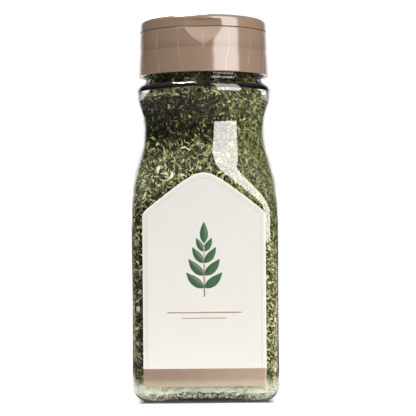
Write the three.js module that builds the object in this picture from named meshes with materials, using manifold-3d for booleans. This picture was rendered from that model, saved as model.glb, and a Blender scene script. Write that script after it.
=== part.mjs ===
// A filled spice jar: a clear square bottle with a round grip waist, packed with dried parsley flakes,
// under a screw cap whose top is two flaps hinged on a bar across its middle.
// Millimetres, +Z up, standing on the four corner feet of its base. The front faces -Y.
// Every piece is built around the jar's axis: an angle is turned from the front, towards +X.

import * as THREE from 'three';
import { mergeVertices } from 'three/addons/utils/BufferGeometryUtils.js';
import Module from 'manifold-3d';

const wasm = await Module();
wasm.setup();

// Bottle
const BODY_HALF = 30.1; // half the width of the square body
const CORNER = 8; // radius of its upright corners
const EDGE_BLEND = 1.5; // how softly a flat face meets the flare above it
const WALL = 1;
const BASE_ROUND = 6.8; // radius where the sides turn under
const FOOT_WIDTH = 3.2;
const PUSH_UP = 4; // rise of the middle of the base
const DOME_SHARE = 0.45; // how far out the push-up's dome stays nearly level, as a share of the foot's radius
const DOME_DROP = 0.8; // its height there, as a share of the push-up
const ARCH = 1.7; // rise of the base's rim between two feet
const ARCH_FADE = 9; // height at which the arch has died away
const FOOT_SPREAD = THREE.MathUtils.degToRad(15); // half the angle that a foot takes up
const NECK_RADIUS = 24.4;
const NECK_BORE = 23.1;
const NECK_BOTTOM = 134.7;
const NECK_TOP = 151.7;
const RIM_EASE = 0.4;
const FLAT_TOP = 66; // up to here the body is a plain square
const GABLE_ABOVE = 105; // the faces' pointed tops lie below this height
// Radius and height down the round part: shoulder bulge, waist, flare out to the square body's corners
const ROUND_PROFILE = [
  [24.4, 134.7], [26.9, 132.1], [28.7, 130], [28.9, 127.9], [27.5, 123.2], [26.3, 117], [26.1, 111.5],
  [26.9, 104.4], [29.3, 97.2], [32.9, 88.9], [37.3, 81.4], [40.2, 77.3], [42, 72],
];

// Neck thread and the bead under it
const THREAD_PITCH = 4.2;
const THREAD_TURNS = 1.25;
const THREAD_START = 141.6;
const THREAD_SIZE = 1;
const THREAD_STEPS = 30;
const THREAD_SIDES = 5;
const THREAD_FADE = 0.08; // share of the thread's length over which each end sinks into the neck
const THREAD_SINK = 1.6; // how deep an end sinks, in thread sizes
const BEAD_HEIGHT = 137.4;
const BEAD_RADIUS = 25.2;
const BEAD_HALF = 1;
const BEAD_ROOT = 0.5; // how far the bead starts inside the neck's outside

// Cap
const CAP_BOTTOM = 135.1;
const CAP_TOP = 158.7;
const CAP_RADIUS = 27.8; // at the bottom; the side leans in from there
const CAP_RADIUS_TOP = 26.95;
const CAP_BORE = 25.75;
const CAP_EASE = 1; // rounded top edge
const CAP_CHAMFER = 0.3;
const PLATE_UNDER = 152.1;
const PLATE_TOP = 153.6;
const SEAL_RADIUS = 22.6;
const SEAL_WALL = 1.1;
const SEAL_DEPTH = 2.5;
const BAR_HALF = 4.4; // half the width of the hinge bar across the top
const BAR_WALL = 1.3;
const BAR_CHANNEL = 21.1; // how far out the bar is hollow
const FLAP_HALF = 4.7; // where a flap begins, from the middle
const FLAP_BOTTOM = 153.9;
const FLAP_WALL = 1.35;
const FLAP_THICK = 1.4;
const THUMB_HALF = 7.75; // half the width of the thumb recess
const THUMB_DEPTH = 1.13;
const THUMB_TOP = 156.6;
const THUMB_PAD = 1.4; // wall behind the recess
const SCALLOP_BOTTOM = 146;
const SIFTER_HOLE = 1.9; // radius, under the front flap
const SIFTER_RING = 6.2;
const SIFTER_CENTRE = 14;
const SIFTER_COUNT = 7;
const SPOON_RADIUS = 20; // half-moon opening under the back flap
const SPOON_EDGE = 7.5;
const SPOON_CORNER = 2;

// Labels, front and back alike
const LABEL_HALF = 24.95;
const LABEL_SHIFT = -0.4; // the front one sits a little to the left
const LABEL_BOTTOM = 7;
const LABEL_APEX = 93.6;
const LABEL_SLOPE = 0.82;
const LABEL_SOFTNESS = 6;
const LABEL_THICK = 0.3;
const LABEL_COLUMNS = [0, 3, 6, 9, 13, 18, 22.1, 23.1, 24.1, LABEL_HALF]; // distances out from its middle line
const GAP = 0.3; // between pieces that touch

// Fill of flakes
const FILL_CLEAR = 0.45; // from the bottle's inside
const FILL_DEPTH = 1.9; // how far the core lies inside the flakes' outer tips, on average
const FILL_BOTTOM = 4.6;
const FILL_TOP = 142.2;
const FILL_ROWS = 30;
const FILL_COLUMNS = 40;
const FILL_CRUMPLE = 0.9; // how much the core's depth varies, in average depths
const FLAKE_ROW = 16; // height from one row of flakes to the next
const FLAKE_PITCH = 15; // along a row
const FLAKE_LONG = 6.2;
const FLAKE_SHORT = 4.4;
const FLAKE_CORNERS = 5;
const FLAKE_TILT = 0.45; // radians
const FLAKE_CURL = 0.55;
const FLAKE_CROWN = 0.35; // how far its middle stands out
const FLAKE_SINK = 1.5; // how deep its keel goes
const TOP_FLAKES = [[17, 11], [10, 7], [3, 2]]; // radius and count of each ring of flakes on top
const BULGE_EMPTY = 1.3; // the flakes don't fill the shoulder bulge
const BULGE_HEIGHT = 128.6;
const BULGE_REACH = 4.5;

const BOTTLE_COLUMNS = 40;
const OUTSIDE_RINGS = 8; // up the waist
const INSIDE_RINGS = 6;
const WAIST_TOP = 122.5;
const BULGE_RINGS = [125.6, 128, 129.7, 131.3, 133]; // heights where the shoulder bulge turns most
const CORNER_CROWDING = 0.35; // how much closer the columns stand at the corners
const CAP_COLUMNS = 56;
const MERGE = 1e-4;
const PAST = 5; // how far a cutting shape runs past what it cuts

// ---- Solids in and out of three.js geometry

function toSolid(geometry) {
  const bare = geometry.clone();
  for (const name of Object.keys(bare.attributes)) {
    if (name !== 'position') bare.deleteAttribute(name);
  }
  const merged = mergeVertices(bare, MERGE);
  return new wasm.Manifold(new wasm.Mesh({
    numProp: 3,
    vertProperties: Float32Array.from(merged.attributes.position.array),
    triVerts: Uint32Array.from(merged.index.array),
  }));
}

function toGeometry(solid) {
  const mesh = solid.getMesh();
  const geometry = new THREE.BufferGeometry();
  geometry.setAttribute('position', new THREE.BufferAttribute(mesh.vertProperties, 3));
  geometry.setIndex(new THREE.BufferAttribute(mesh.triVerts, 1));
  geometry.computeVertexNormals();
  return geometry;
}

// A solid box from its lowest and highest corners
function boxSolid(low, high) {
  const size = high.map((value, axis) => value - low[axis]);
  const geometry = new THREE.BoxGeometry(...size);
  geometry.translate(...low.map((value, axis) => value + size[axis] / 2));
  return toSolid(geometry);
}

// An outline in plan, raised from one height to another
function uprightSolid(shape, bottom, top, curveSegments = 8) {
  const options = { depth: top - bottom, bevelEnabled: false, curveSegments };
  const geometry = new THREE.ExtrudeGeometry(shape, options);
  geometry.translate(0, 0, bottom);
  return toSolid(geometry);
}

// A profile of [radius, height] pairs turned round the axis, running up the outside of the solid
function turnedSolid(profile, columns = CAP_COLUMNS) {
  const points = profile.map(([radius, height]) => new THREE.Vector2(radius, height));
  const geometry = new THREE.LatheGeometry(points, columns);
  geometry.rotateX(Math.PI / 2);
  return toSolid(geometry);
}

// Rings of a turned shape whose radius and height change round the axis: place(ring, angle) gives both, and
// may add a small turn
function shapedSolid(ringCount, columns, crowding, place) {
  const points = Array.from({ length: ringCount }, (_, ring) => new THREE.Vector2(1, ring));
  const geometry = new THREE.LatheGeometry(points, columns);
  const position = geometry.attributes.position;
  for (let vertex = 0; vertex < position.count; vertex += 1) {
    const even = (Math.floor(vertex / ringCount) % columns) / columns * Math.PI * 2;
    const angle = even + crowding / 4 * Math.sin(4 * even);
    const [radius, height, turn = 0] = place(vertex % ringCount, angle);
    position.setXYZ(vertex, radius * Math.sin(angle + turn), -radius * Math.cos(angle + turn), height);
  }
  return toSolid(geometry);
}

// ---- The bottle's form, which the fill and the labels follow

const roundPoints = new THREE.SplineCurve(
  ROUND_PROFILE.map(([radius, height]) => new THREE.Vector2(radius, height)),
).getPoints(96);

// Radius of the round part at a height
function roundRadius(height) {
  if (height >= NECK_BOTTOM) return NECK_RADIUS;
  const below = roundPoints.findIndex((point) => point.y <= height);
  if (below < 0) return roundPoints.at(-1).x;
  const [upper, lower] = [roundPoints[below - 1], roundPoints[below]];
  return THREE.MathUtils.mapLinear(height, upper.y, lower.y, upper.x, lower.x);
}

// How far a square with rounded corners reaches from its middle, at an angle from the front
function squareReach(angle, half, corner) {
  const quarter = Math.PI / 2;
  const fromFace = Math.abs(angle - Math.round(angle / quarter) * quarter);
  const centre = half - corner;
  if (Math.tan(fromFace) * half <= centre) return half / Math.cos(fromFace);
  const along = centre * (Math.cos(fromFace) + Math.sin(fromFace));
  return along + Math.sqrt(corner ** 2 - 2 * centre ** 2 + along ** 2);
}

// The smaller of two lengths, rounded off where they are nearly equal
function smoothLeast(one, other, blend) {
  const near = Math.max(blend - Math.abs(one - other), 0) / blend;
  return Math.min(one, other) - near ** 2 * blend / 4;
}

// Radius of the bottle, or of a surface lying a given depth inside it
function wallRadius(angle, height, depth) {
  const square = squareReach(angle, BODY_HALF - depth, Math.max(CORNER - depth, 1));
  const turn = BASE_ROUND - depth;
  const above = Math.max(height - depth, 0);
  const under = above < turn ? turn - Math.sqrt(turn ** 2 - (turn - above) ** 2) : 0;
  return smoothLeast(roundRadius(height) - depth, square, EDGE_BLEND) - under;
}

// The base's rim rises between the feet, less and less up the side
function archLift(angle, height) {
  const eighth = Math.PI / 4;
  const fromCorner = Math.abs(Math.abs(angle % (2 * eighth)) - eighth);
  const share = THREE.MathUtils.smoothstep(fromCorner, FOOT_SPREAD, eighth);
  return ARCH * share * Math.max(1 - height / ARCH_FADE, 0);
}

// ---- Bottle

// Height at which the flare leaves a flat face or a corner: the line of the face's pointed top
function gableHeight(angle) {
  const reach = squareReach(angle, BODY_HALF, CORNER);
  const below = roundPoints.findIndex((point) => point.y < GABLE_ABOVE && point.x >= reach);
  const [upper, lower] = [roundPoints[below - 1], roundPoints[below]];
  return THREE.MathUtils.mapLinear(reach, upper.x, lower.x, upper.y, lower.y);
}

// Heights of the rings up the side at an angle: the base's turn, the faces up to their pointed tops, and the
// round part
function sideHeights(angle, depth, waistRings) {
  const turn = [1, 2, 3, 4].map((step) => {
    return depth + (BASE_ROUND - depth) * (1 - Math.cos(step * Math.PI / 8));
  });
  const gable = gableHeight(angle);
  const flare = [FLAT_TOP, gable - EDGE_BLEND, gable, gable + EDGE_BLEND];
  const steps = Array.from({ length: waistRings }, (_, step) => (step + 1) / waistRings);
  const waist = steps.map((share) => THREE.MathUtils.lerp(gable + EDGE_BLEND, WAIST_TOP, share));
  return [...turn, ...flare, ...waist, ...BULGE_RINGS];
}

// The bottle's form, or a room lying a given depth inside it, as one solid from its base to its neck's end
function bottleForm(depth, neckRadius, neckEnd, ease, waistRings) {
  const foot = (angle) => wallRadius(angle, depth, depth);
  const rings = [
    () => [0, PUSH_UP + depth],
    (angle) => [foot(angle) * DOME_SHARE, PUSH_UP * DOME_DROP + depth],
    (angle) => [foot(angle) - FOOT_WIDTH - depth, depth + archLift(angle, 0)],
    (angle) => [foot(angle), depth + archLift(angle, 0)],
  ];
  for (let ring = 0; ring < sideHeights(0, depth, waistRings).length; ring += 1) {
    rings.push((angle) => {
      const height = sideHeights(angle, depth, waistRings)[ring];
      return [wallRadius(angle, height, depth), height + archLift(angle, height)];
    });
  }
  rings.push(() => [neckRadius, NECK_BOTTOM]);
  rings.push(() => [neckRadius, neckEnd - ease]);
  if (ease > 0) rings.push(() => [neckRadius - ease, neckEnd]);
  rings.push(() => [0, neckEnd]);
  return shapedSolid(rings.length, BOTTLE_COLUMNS, CORNER_CROWDING, (ring, angle) => rings[ring](angle));
}

class ThreadPath extends THREE.Curve {
  getPoint(share, target = new THREE.Vector3()) {
    const angle = share * THREAD_TURNS * Math.PI * 2;
    const fromEnd = Math.min(share, 1 - share);
    const sink = THREAD_SIZE * THREAD_SINK * (1 - THREE.MathUtils.smoothstep(fromEnd, 0, THREAD_FADE));
    const radius = NECK_RADIUS - sink;
    const height = THREAD_START + share * THREAD_TURNS * THREAD_PITCH;
    return target.set(radius * Math.sin(angle), -radius * Math.cos(angle), height);
  }
}

function neckThread() {
  const section = new THREE.Shape();
  for (let side = 0; side < THREAD_SIDES; side += 1) {
    const turn = side / THREAD_SIDES * Math.PI * 2;
    const corner = [THREAD_SIZE * Math.cos(turn), THREAD_SIZE * Math.sin(turn)];
    if (side === 0) section.moveTo(...corner);
    else section.lineTo(...corner);
  }
  const geometry = new THREE.ExtrudeGeometry(section, { steps: THREAD_STEPS, extrudePath: new ThreadPath() });
  return toSolid(geometry);
}

function neckBead() {
  const inside = NECK_RADIUS - BEAD_ROOT;
  return turnedSolid([
    [inside, BEAD_HEIGHT - BEAD_HALF], [BEAD_RADIUS, BEAD_HEIGHT - BEAD_HALF / 3],
    [BEAD_RADIUS, BEAD_HEIGHT + BEAD_HALF / 3], [inside, BEAD_HEIGHT + BEAD_HALF],
    [inside, BEAD_HEIGHT - BEAD_HALF],
  ], BOTTLE_COLUMNS);
}

function bottle() {
  const outside = bottleForm(0, NECK_RADIUS, NECK_TOP, RIM_EASE, OUTSIDE_RINGS);
  const inside = bottleForm(WALL, NECK_BORE, NECK_TOP + PAST, 0, INSIDE_RINGS);
  return outside.add(neckThread()).add(neckBead()).subtract(inside);
}

// ---- Parsley flakes

// Numbers from 0 to 1 that are the same on every run
function drawFrom(seed) {
  let state = seed;
  return () => {
    state = (state * 1664525 + 1013904223) % 2 ** 32;
    return state / 2 ** 32;
  };
}

// The furthest out that a flake may reach
function fillReach(angle, height) {
  const depth = WALL + FILL_CLEAR;
  const empty = BULGE_EMPTY * Math.exp(-(((height - BULGE_HEIGHT) / BULGE_REACH) ** 2));
  const neck = height > NECK_BOTTOM - 1 ? NECK_BORE - FILL_CLEAR : Infinity;
  return Math.min(wallRadius(angle, height, depth) - empty, neck);
}

// A fixed number from 0 to 1 for each pair of numbers: the tail of a large, fast wave
function scatter(one, other) {
  const spread = Math.sin(one * 12.9898 + other * 78.233) * 43758.5453;
  return spread - Math.floor(spread);
}

// The heap itself: every point of its skin lies at a depth of its own, so that it is all small tilted facets
function fillCore() {
  const crest = FILL_TOP - FILL_DEPTH;
  const step = (crest - FILL_BOTTOM) / FILL_ROWS;
  const rings = [() => [0, FILL_BOTTOM + PUSH_UP]];
  for (let row = 0; row <= FILL_ROWS; row += 1) {
    const stray = row % FILL_ROWS ? step * 0.7 : 0; // the first and last rings stay level
    rings.push((angle) => {
      const height = FILL_BOTTOM + row * step + (scatter(row, angle) - 0.5) * stray;
      const depth = FILL_DEPTH * (1 + FILL_CRUMPLE * (scatter(angle, row + 7) - 0.7));
      const turn = (scatter(angle + 3, row) - 0.5) * Math.PI / FILL_COLUMNS;
      return [fillReach(angle, height) - depth, height, turn];
    });
  }
  for (const share of [0.8, 0.45]) {
    rings.push((angle) => [NECK_BORE * share, crest + FILL_DEPTH * (0.7 - scatter(angle, share))]);
  }
  rings.push(() => [0, crest]);
  return shapedSolid(rings.length, FILL_COLUMNS, CORNER_CROWDING, (ring, angle) => rings[ring](angle));
}

// A crumpled scrap of leaf: a wavy plate of a few corners with a keel that roots it in the core
function flake(centre, outward, draw) {
  const side = new THREE.Vector3(0, 0, 1).cross(outward);
  if (side.lengthSq() < 0.01) side.set(1, 0, 0);
  side.normalize();
  const turn = new THREE.Quaternion().setFromAxisAngle(outward, draw() * Math.PI);
  const along = side.clone().applyQuaternion(turn);
  const tilt = new THREE.Quaternion().setFromAxisAngle(along, (draw() * 2 - 1) * FLAKE_TILT);
  const normal = outward.clone().applyQuaternion(tilt);
  const across = normal.clone().cross(along);
  const corners = [];
  for (let corner = 0; corner < FLAKE_CORNERS; corner += 1) {
    const around = (corner + 0.5 * (draw() - 0.5)) / FLAKE_CORNERS * Math.PI * 2;
    const size = 0.75 + 0.45 * draw();
    const lift = FLAKE_CURL * (corner % 2 ? 1 : -1) * draw();
    corners.push(centre.clone()
      .addScaledVector(along, FLAKE_LONG * size * Math.cos(around))
      .addScaledVector(across, FLAKE_SHORT * size * Math.sin(around))
      .addScaledVector(normal, lift));
  }
  const crown = centre.clone().addScaledVector(normal, FLAKE_CROWN);
  const keel = centre.clone().addScaledVector(outward, -FLAKE_SINK);
  return { corners, crown, keel };
}

// Keeps a point inside the space that the flakes have
function heldInside(point) {
  const height = THREE.MathUtils.clamp(point.z, FILL_BOTTOM, FILL_TOP);
  const angle = Math.atan2(point.x, -point.y);
  const radius = Math.hypot(point.x, point.y);
  const share = Math.min(fillReach(angle, height) / Math.max(radius, 1e-6), 1);
  return new THREE.Vector3(point.x * share, point.y * share, height);
}

function flakeSolid({ corners, crown, keel }) {
  const points = [crown, keel, ...corners].map(heldInside);
  const faces = corners.flatMap((_, corner) => {
    const next = (corner + 1) % corners.length;
    return [0, corner + 2, next + 2, 1, next + 2, corner + 2];
  });
  const geometry = new THREE.BufferGeometry().setFromPoints(points);
  geometry.setIndex(faces);
  return toSolid(geometry);
}

function parsleyFill() {
  const draw = drawFrom(7);
  const flakes = [];
  for (let row = FILL_BOTTOM + 3; row < FILL_TOP - 3; row += FLAKE_ROW) {
    const count = Math.round(2 * Math.PI * fillReach(0, row) / FLAKE_PITCH);
    for (let place = 0; place < count; place += 1) {
      const angle = (place + 0.8 * draw()) / count * Math.PI * 2;
      const height = Math.min(row + (draw() - 0.5) * FLAKE_ROW * 0.8, FILL_TOP - FILL_DEPTH);
      const radius = fillReach(angle, height) - FILL_DEPTH / 2;
      const outward = new THREE.Vector3(Math.sin(angle), -Math.cos(angle), 0);
      const centre = outward.clone().multiplyScalar(radius).setZ(height);
      flakes.push(flake(centre, outward, draw));
    }
  }
  const up = new THREE.Vector3(0, 0, 1);
  for (const [radius, count] of TOP_FLAKES) {
    for (let place = 0; place < count; place += 1) {
      const angle = (place + 0.6 * draw()) / count * Math.PI * 2;
      const level = FILL_TOP - FILL_DEPTH / 2;
      const centre = new THREE.Vector3(radius * Math.sin(angle), -radius * Math.cos(angle), level);
      flakes.push(flake(centre, up, draw));
    }
  }
  const room = bottleForm(WALL + GAP, NECK_BORE - GAP, NECK_TOP, 0, INSIDE_RINGS);
  const heap = wasm.Manifold.union([fillCore(), ...flakes.map(flakeSolid)]).intersect(room);
  // The largest body alone: loose scraps go, and hollows sealed between flakes are filled
  return heap.decompose().reduce((largest, part) => (part.volume() > largest.volume() ? part : largest));
}

// ---- Labels: thin sheets lying on a face and turning a little way round its corners

// The sheet's place across the face: a distance along the surface gives a point and its outward direction
function labelPlace(distance, depth) {
  const flat = BODY_HALF - CORNER;
  const beyond = Math.max(Math.abs(distance) - flat, 0);
  const turn = beyond / CORNER;
  const across = Math.sign(distance) * (Math.min(Math.abs(distance), flat) + (CORNER + depth) * Math.sin(turn));
  return [across, -(flat + (CORNER + depth) * Math.cos(turn))];
}

function labelSheet(shift) {
  const leftSide = LABEL_COLUMNS.slice(1).reverse().map((distance) => -distance);
  const distances = [...leftSide, ...LABEL_COLUMNS].map((distance) => distance + shift);
  const topAt = (distance) => {
    const out = distance - shift;
    return LABEL_APEX - LABEL_SLOPE * (Math.sqrt(out ** 2 + LABEL_SOFTNESS ** 2) - LABEL_SOFTNESS);
  };
  const points = [];
  for (const distance of distances) {
    for (const depth of [GAP, GAP + LABEL_THICK]) {
      const [x, y] = labelPlace(distance, depth);
      points.push(x, y, LABEL_BOTTOM, x, y, topAt(distance));
    }
  }
  // Each column has four points: inner bottom, inner top, outer bottom, outer top
  const faces = [0, 2, 3, 0, 3, 1];
  for (let column = 0; column < distances.length - 1; column += 1) {
    const [a, b] = [column * 4, column * 4 + 4];
    faces.push(a, a + 1, b + 1, a, b + 1, b);
    faces.push(a + 2, b + 2, b + 3, a + 2, b + 3, a + 3);
    faces.push(a, b, b + 2, a, b + 2, a + 2);
    faces.push(a + 1, a + 3, b + 3, a + 1, b + 3, b + 1);
  }
  const end = (distances.length - 1) * 4;
  faces.push(end, end + 1, end + 3, end, end + 3, end + 2);
  const geometry = new THREE.BufferGeometry();
  geometry.setAttribute('position', new THREE.Float32BufferAttribute(points, 3));
  geometry.setIndex(faces);
  return geometry;
}

// ---- Cap

// The cap's outside radius at a height
function capRadius(height) {
  return THREE.MathUtils.mapLinear(height, CAP_BOTTOM, CAP_TOP, CAP_RADIUS, CAP_RADIUS_TOP);
}

// The rounded top edge, from the side to the top
function capTopEdge() {
  const steps = [0, 1, 2, 3];
  return steps.map((step) => {
    const turn = step / (steps.length - 1) * Math.PI / 2;
    return [CAP_RADIUS_TOP - CAP_EASE * (1 - Math.cos(turn)), CAP_TOP - CAP_EASE * (1 - Math.sin(turn))];
  });
}

// What the thumb recess takes away on the front: a flat face above the seam, and below it a face that leans out
// until it meets the skirt
function thumbCut() {
  const flat = capRadius(FLAP_BOTTOM) - THUMB_DEPTH;
  const foot = capRadius(SCALLOP_BOTTOM);
  const outline = new THREE.Shape();
  outline.moveTo(-flat, THUMB_TOP);
  outline.lineTo(-flat, PLATE_TOP);
  outline.lineTo(-foot, SCALLOP_BOTTOM);
  outline.lineTo(-foot - PAST, SCALLOP_BOTTOM);
  outline.lineTo(-foot - PAST, THUMB_TOP);
  outline.closePath();
  const geometry = new THREE.ExtrudeGeometry(outline, { depth: THUMB_HALF * 2, bevelEnabled: false });
  geometry.applyMatrix4(new THREE.Matrix4().set(0, 0, 1, -THUMB_HALF, 1, 0, 0, 0, 0, 1, 0, 0, 0, 0, 0, 1));
  return toSolid(geometry);
}

function turnedBack(solid) {
  return solid.rotate([0, 0, 180]);
}

// The skirt, the plate across it and the ring under the plate that seals the neck, as one turned piece
function skirtAndPlate() {
  const sealInside = SEAL_RADIUS - SEAL_WALL;
  const sealTip = PLATE_UNDER - SEAL_DEPTH;
  return turnedSolid([
    [0, PLATE_UNDER], [sealInside, PLATE_UNDER],
    [sealInside, sealTip], [SEAL_RADIUS - CAP_CHAMFER, sealTip],
    [SEAL_RADIUS, PLATE_UNDER], [CAP_BORE - 1, PLATE_UNDER], [CAP_BORE, PLATE_UNDER - 2],
    [CAP_BORE, CAP_BOTTOM + 1.2], [CAP_BORE + 0.5, CAP_BOTTOM], [CAP_RADIUS - CAP_CHAMFER, CAP_BOTTOM],
    [CAP_RADIUS, CAP_BOTTOM + CAP_CHAMFER], [capRadius(PLATE_TOP), PLATE_TOP], [0, PLATE_TOP],
  ]);
}

// The bar that carries both flaps
function hingeBar() {
  const drum = turnedSolid([
    [0, PLATE_UNDER], [capRadius(PLATE_UNDER), PLATE_UNDER], ...capTopEdge(), [0, CAP_TOP],
  ]);
  const reach = CAP_RADIUS + PAST;
  return drum.intersect(boxSolid([-reach, -BAR_HALF, PLATE_UNDER], [reach, BAR_HALF, CAP_TOP + PAST]));
}

// The hollow in the bar, open downwards
function barHollow() {
  const [bottom, top] = [PLATE_UNDER - 1, CAP_TOP - BAR_WALL];
  const half = BAR_HALF - BAR_WALL;
  const channel = boxSolid([-CAP_BORE, -half, bottom], [CAP_BORE, half, top]);
  return channel.intersect(turnedSolid([[0, bottom], [BAR_CHANNEL, bottom], [BAR_CHANNEL, top], [0, top]]));
}

function sifterHoles() {
  const holes = [[0, -SIFTER_CENTRE]];
  for (let hole = 0; hole < SIFTER_COUNT - 1; hole += 1) {
    const angle = hole / (SIFTER_COUNT - 1) * Math.PI * 2;
    holes.push([SIFTER_RING * Math.cos(angle), SIFTER_RING * Math.sin(angle) - SIFTER_CENTRE]);
  }
  return holes.map(([x, y]) => {
    const circle = new THREE.Shape();
    circle.absarc(x, y, SIFTER_HOLE, 0, Math.PI * 2);
    return uprightSolid(circle, PLATE_UNDER - PAST, PLATE_TOP + PAST, 6);
  });
}

function spoonOpening() {
  const corner = Math.sqrt((SPOON_RADIUS - SPOON_CORNER) ** 2 - (SPOON_EDGE + SPOON_CORNER) ** 2);
  const turn = Math.atan2(SPOON_EDGE + SPOON_CORNER, corner);
  const outline = new THREE.Shape();
  outline.absarc(0, 0, SPOON_RADIUS, turn, Math.PI - turn);
  outline.absarc(-corner, SPOON_EDGE + SPOON_CORNER, SPOON_CORNER, Math.PI - turn, Math.PI * 1.5);
  outline.absarc(corner, SPOON_EDGE + SPOON_CORNER, SPOON_CORNER, -Math.PI / 2, turn);
  return uprightSolid(outline, PLATE_UNDER - PAST, PLATE_TOP + PAST, 8);
}

function capBase() {
  const cuts = [barHollow(), thumbCut(), turnedBack(thumbCut()), ...sifterHoles(), spoonOpening()];
  return cuts.reduce((solid, cut) => solid.subtract(cut), skirtAndPlate().add(hingeBar()));
}

// The front flap: a shallow lid, open below, with a thumb recess under its lip
function flap() {
  const inner = capRadius(FLAP_BOTTOM) - FLAP_WALL;
  const under = CAP_TOP - FLAP_THICK;
  const lid = turnedSolid([
    [0, under], [inner - 0.15, under], [inner, FLAP_BOTTOM], [capRadius(FLAP_BOTTOM), FLAP_BOTTOM],
    ...capTopEdge(), [0, CAP_TOP],
  ]);
  // A thicker wall behind the recess, reaching a little way into the side and the top
  const [padHalf, padTop] = [THUMB_HALF + THUMB_PAD, under + 0.2];
  const padFace = capRadius(FLAP_BOTTOM) - THUMB_DEPTH - THUMB_PAD;
  const block = boxSolid([-padHalf, -CAP_RADIUS, FLAP_BOTTOM], [padHalf, -padFace, padTop]);
  const within = inner + 0.2;
  const disc = turnedSolid([[0, FLAP_BOTTOM], [within, FLAP_BOTTOM], [within, padTop], [0, padTop]]);
  const pad = block.intersect(disc);
  const reach = CAP_RADIUS + PAST;
  const front = boxSolid([-reach, -reach, FLAP_BOTTOM - PAST], [reach, -FLAP_HALF, CAP_TOP + PAST]);
  return lid.add(pad).intersect(front).subtract(thumbCut());
}

// ---- Assembly

const clearPlastic = { color: 0xe8eeea, roughness: 0.08, metalness: 0, transparent: true, opacity: 0.35 };
const driedLeaf = { color: 0x6b7240, roughness: 0.9, metalness: 0 };
const roseBrownPlastic = { color: 0x8e7565, roughness: 0.22, metalness: 0 };
const creamPaper = { color: 0xe9e5da, roughness: 0.55, metalness: 0 };

function piece(name, geometry, finish) {
  const mesh = new THREE.Mesh(geometry, new THREE.MeshStandardMaterial(finish));
  mesh.name = name;
  return mesh;
}

const jar = new THREE.Group();
jar.add(piece('bottle', toGeometry(bottle()), clearPlastic));
jar.add(piece('parsley_fill', toGeometry(parsleyFill()), driedLeaf));
jar.add(piece('label_front', labelSheet(LABEL_SHIFT), creamPaper));
const labelBack = piece('label_back', labelSheet(0), creamPaper);
labelBack.rotation.z = Math.PI;
jar.add(labelBack);
jar.add(piece('cap_base', toGeometry(capBase()), roseBrownPlastic));
jar.add(piece('flap_front', toGeometry(flap()), roseBrownPlastic));
jar.add(piece('flap_back', toGeometry(turnedBack(flap())), roseBrownPlastic));

export default jar;
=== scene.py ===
"""A filled spice jar: clear bottle, dried parsley flakes, cream labels and a two-flap screw cap, with the studio
that shows them.

Every shape is a surface of two parameters, or a profile carried round the jar, worked out in millimetres as whole
arrays and put into a mesh in metres. The jar stands on z = 0, its front faces -Y, and an angle is turned from the
front towards +X, so that a point at radius r and angle a lies at x = r sin a, y = -r cos a.
"""

import math
from functools import partial

import bmesh
import bpy
import numpy as np
from bpy.props import BoolProperty, FloatProperty, FloatVectorProperty, IntProperty, PointerProperty
from mathutils import Matrix, Vector


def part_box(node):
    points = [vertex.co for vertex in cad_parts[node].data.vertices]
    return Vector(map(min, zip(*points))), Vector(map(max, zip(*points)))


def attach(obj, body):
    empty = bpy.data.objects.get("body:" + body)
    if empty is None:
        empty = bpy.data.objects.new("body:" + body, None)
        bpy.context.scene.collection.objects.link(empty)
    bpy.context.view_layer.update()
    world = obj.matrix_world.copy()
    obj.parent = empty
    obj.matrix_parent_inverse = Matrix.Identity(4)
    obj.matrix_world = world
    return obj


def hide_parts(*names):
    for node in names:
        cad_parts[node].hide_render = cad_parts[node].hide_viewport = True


bl_info = {
    "name": "Filled Spice Jar",
    "version": (1, 0, 0),
    "blender": (4, 5, 0),
    "location": "View3D > Sidebar > Spice Jar",
    "description": "Makes a clear spice jar of dried parsley flakes, its labels, its cap and a studio round it",
    "category": "Add Mesh",
}

MM = 0.001
QUARTER = math.tau / 4

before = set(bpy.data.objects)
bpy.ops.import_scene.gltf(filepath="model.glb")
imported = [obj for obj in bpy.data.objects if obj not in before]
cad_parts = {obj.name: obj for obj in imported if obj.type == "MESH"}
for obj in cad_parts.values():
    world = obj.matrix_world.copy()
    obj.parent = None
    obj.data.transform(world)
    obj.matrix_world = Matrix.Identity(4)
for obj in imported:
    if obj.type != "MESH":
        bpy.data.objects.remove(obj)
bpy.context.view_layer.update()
BOTTLE_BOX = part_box("bottle")
CAP_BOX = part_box("cap_base")

# Radius and height down the bottle's round part: shoulder bulge, waist, flare out to the square body's corners
ROUND_PROFILE = [
    (24.4, 134.7), (24.42, 134), (24.8, 133.25), (25.9, 132.2), (27.35, 131.15), (28.4, 129.9), (28.85, 128.5),
    (28.9, 127.2), (28.5, 125.4), (27.6, 122.8), (26.5, 118), (26.05, 111.5), (26.9, 104.4), (29.4, 97),
    (33.8, 89.6), (39.4, 81.4), (42.6, 77.3), (47, 72),
]  # fmt: skip

# From, to and step of the heights of the rings up the bottle's side
OUTSIDE_HEIGHTS = ((8, 74, 1.6), (74, 106, 0.55), (106, 122, 1), (122, 134.6, 0.42))
INSIDE_HEIGHTS = ((8, 74, 2.4), (74, 106, 1.0), (106, 122, 1.6), (122, 134, 0.6))
BOTTLE_COLUMNS, HEAP_COLUMNS, HEAP_ROWS, CAP_COLUMNS, FLAP_COLUMNS = 280, 150, 118, 288, 181
# Height at which lower flakes give way to upper ones, and the angle over which the cap's edges stay crisp
FLAKES_SPLIT, CAP_SHARP = 80, 26

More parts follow.
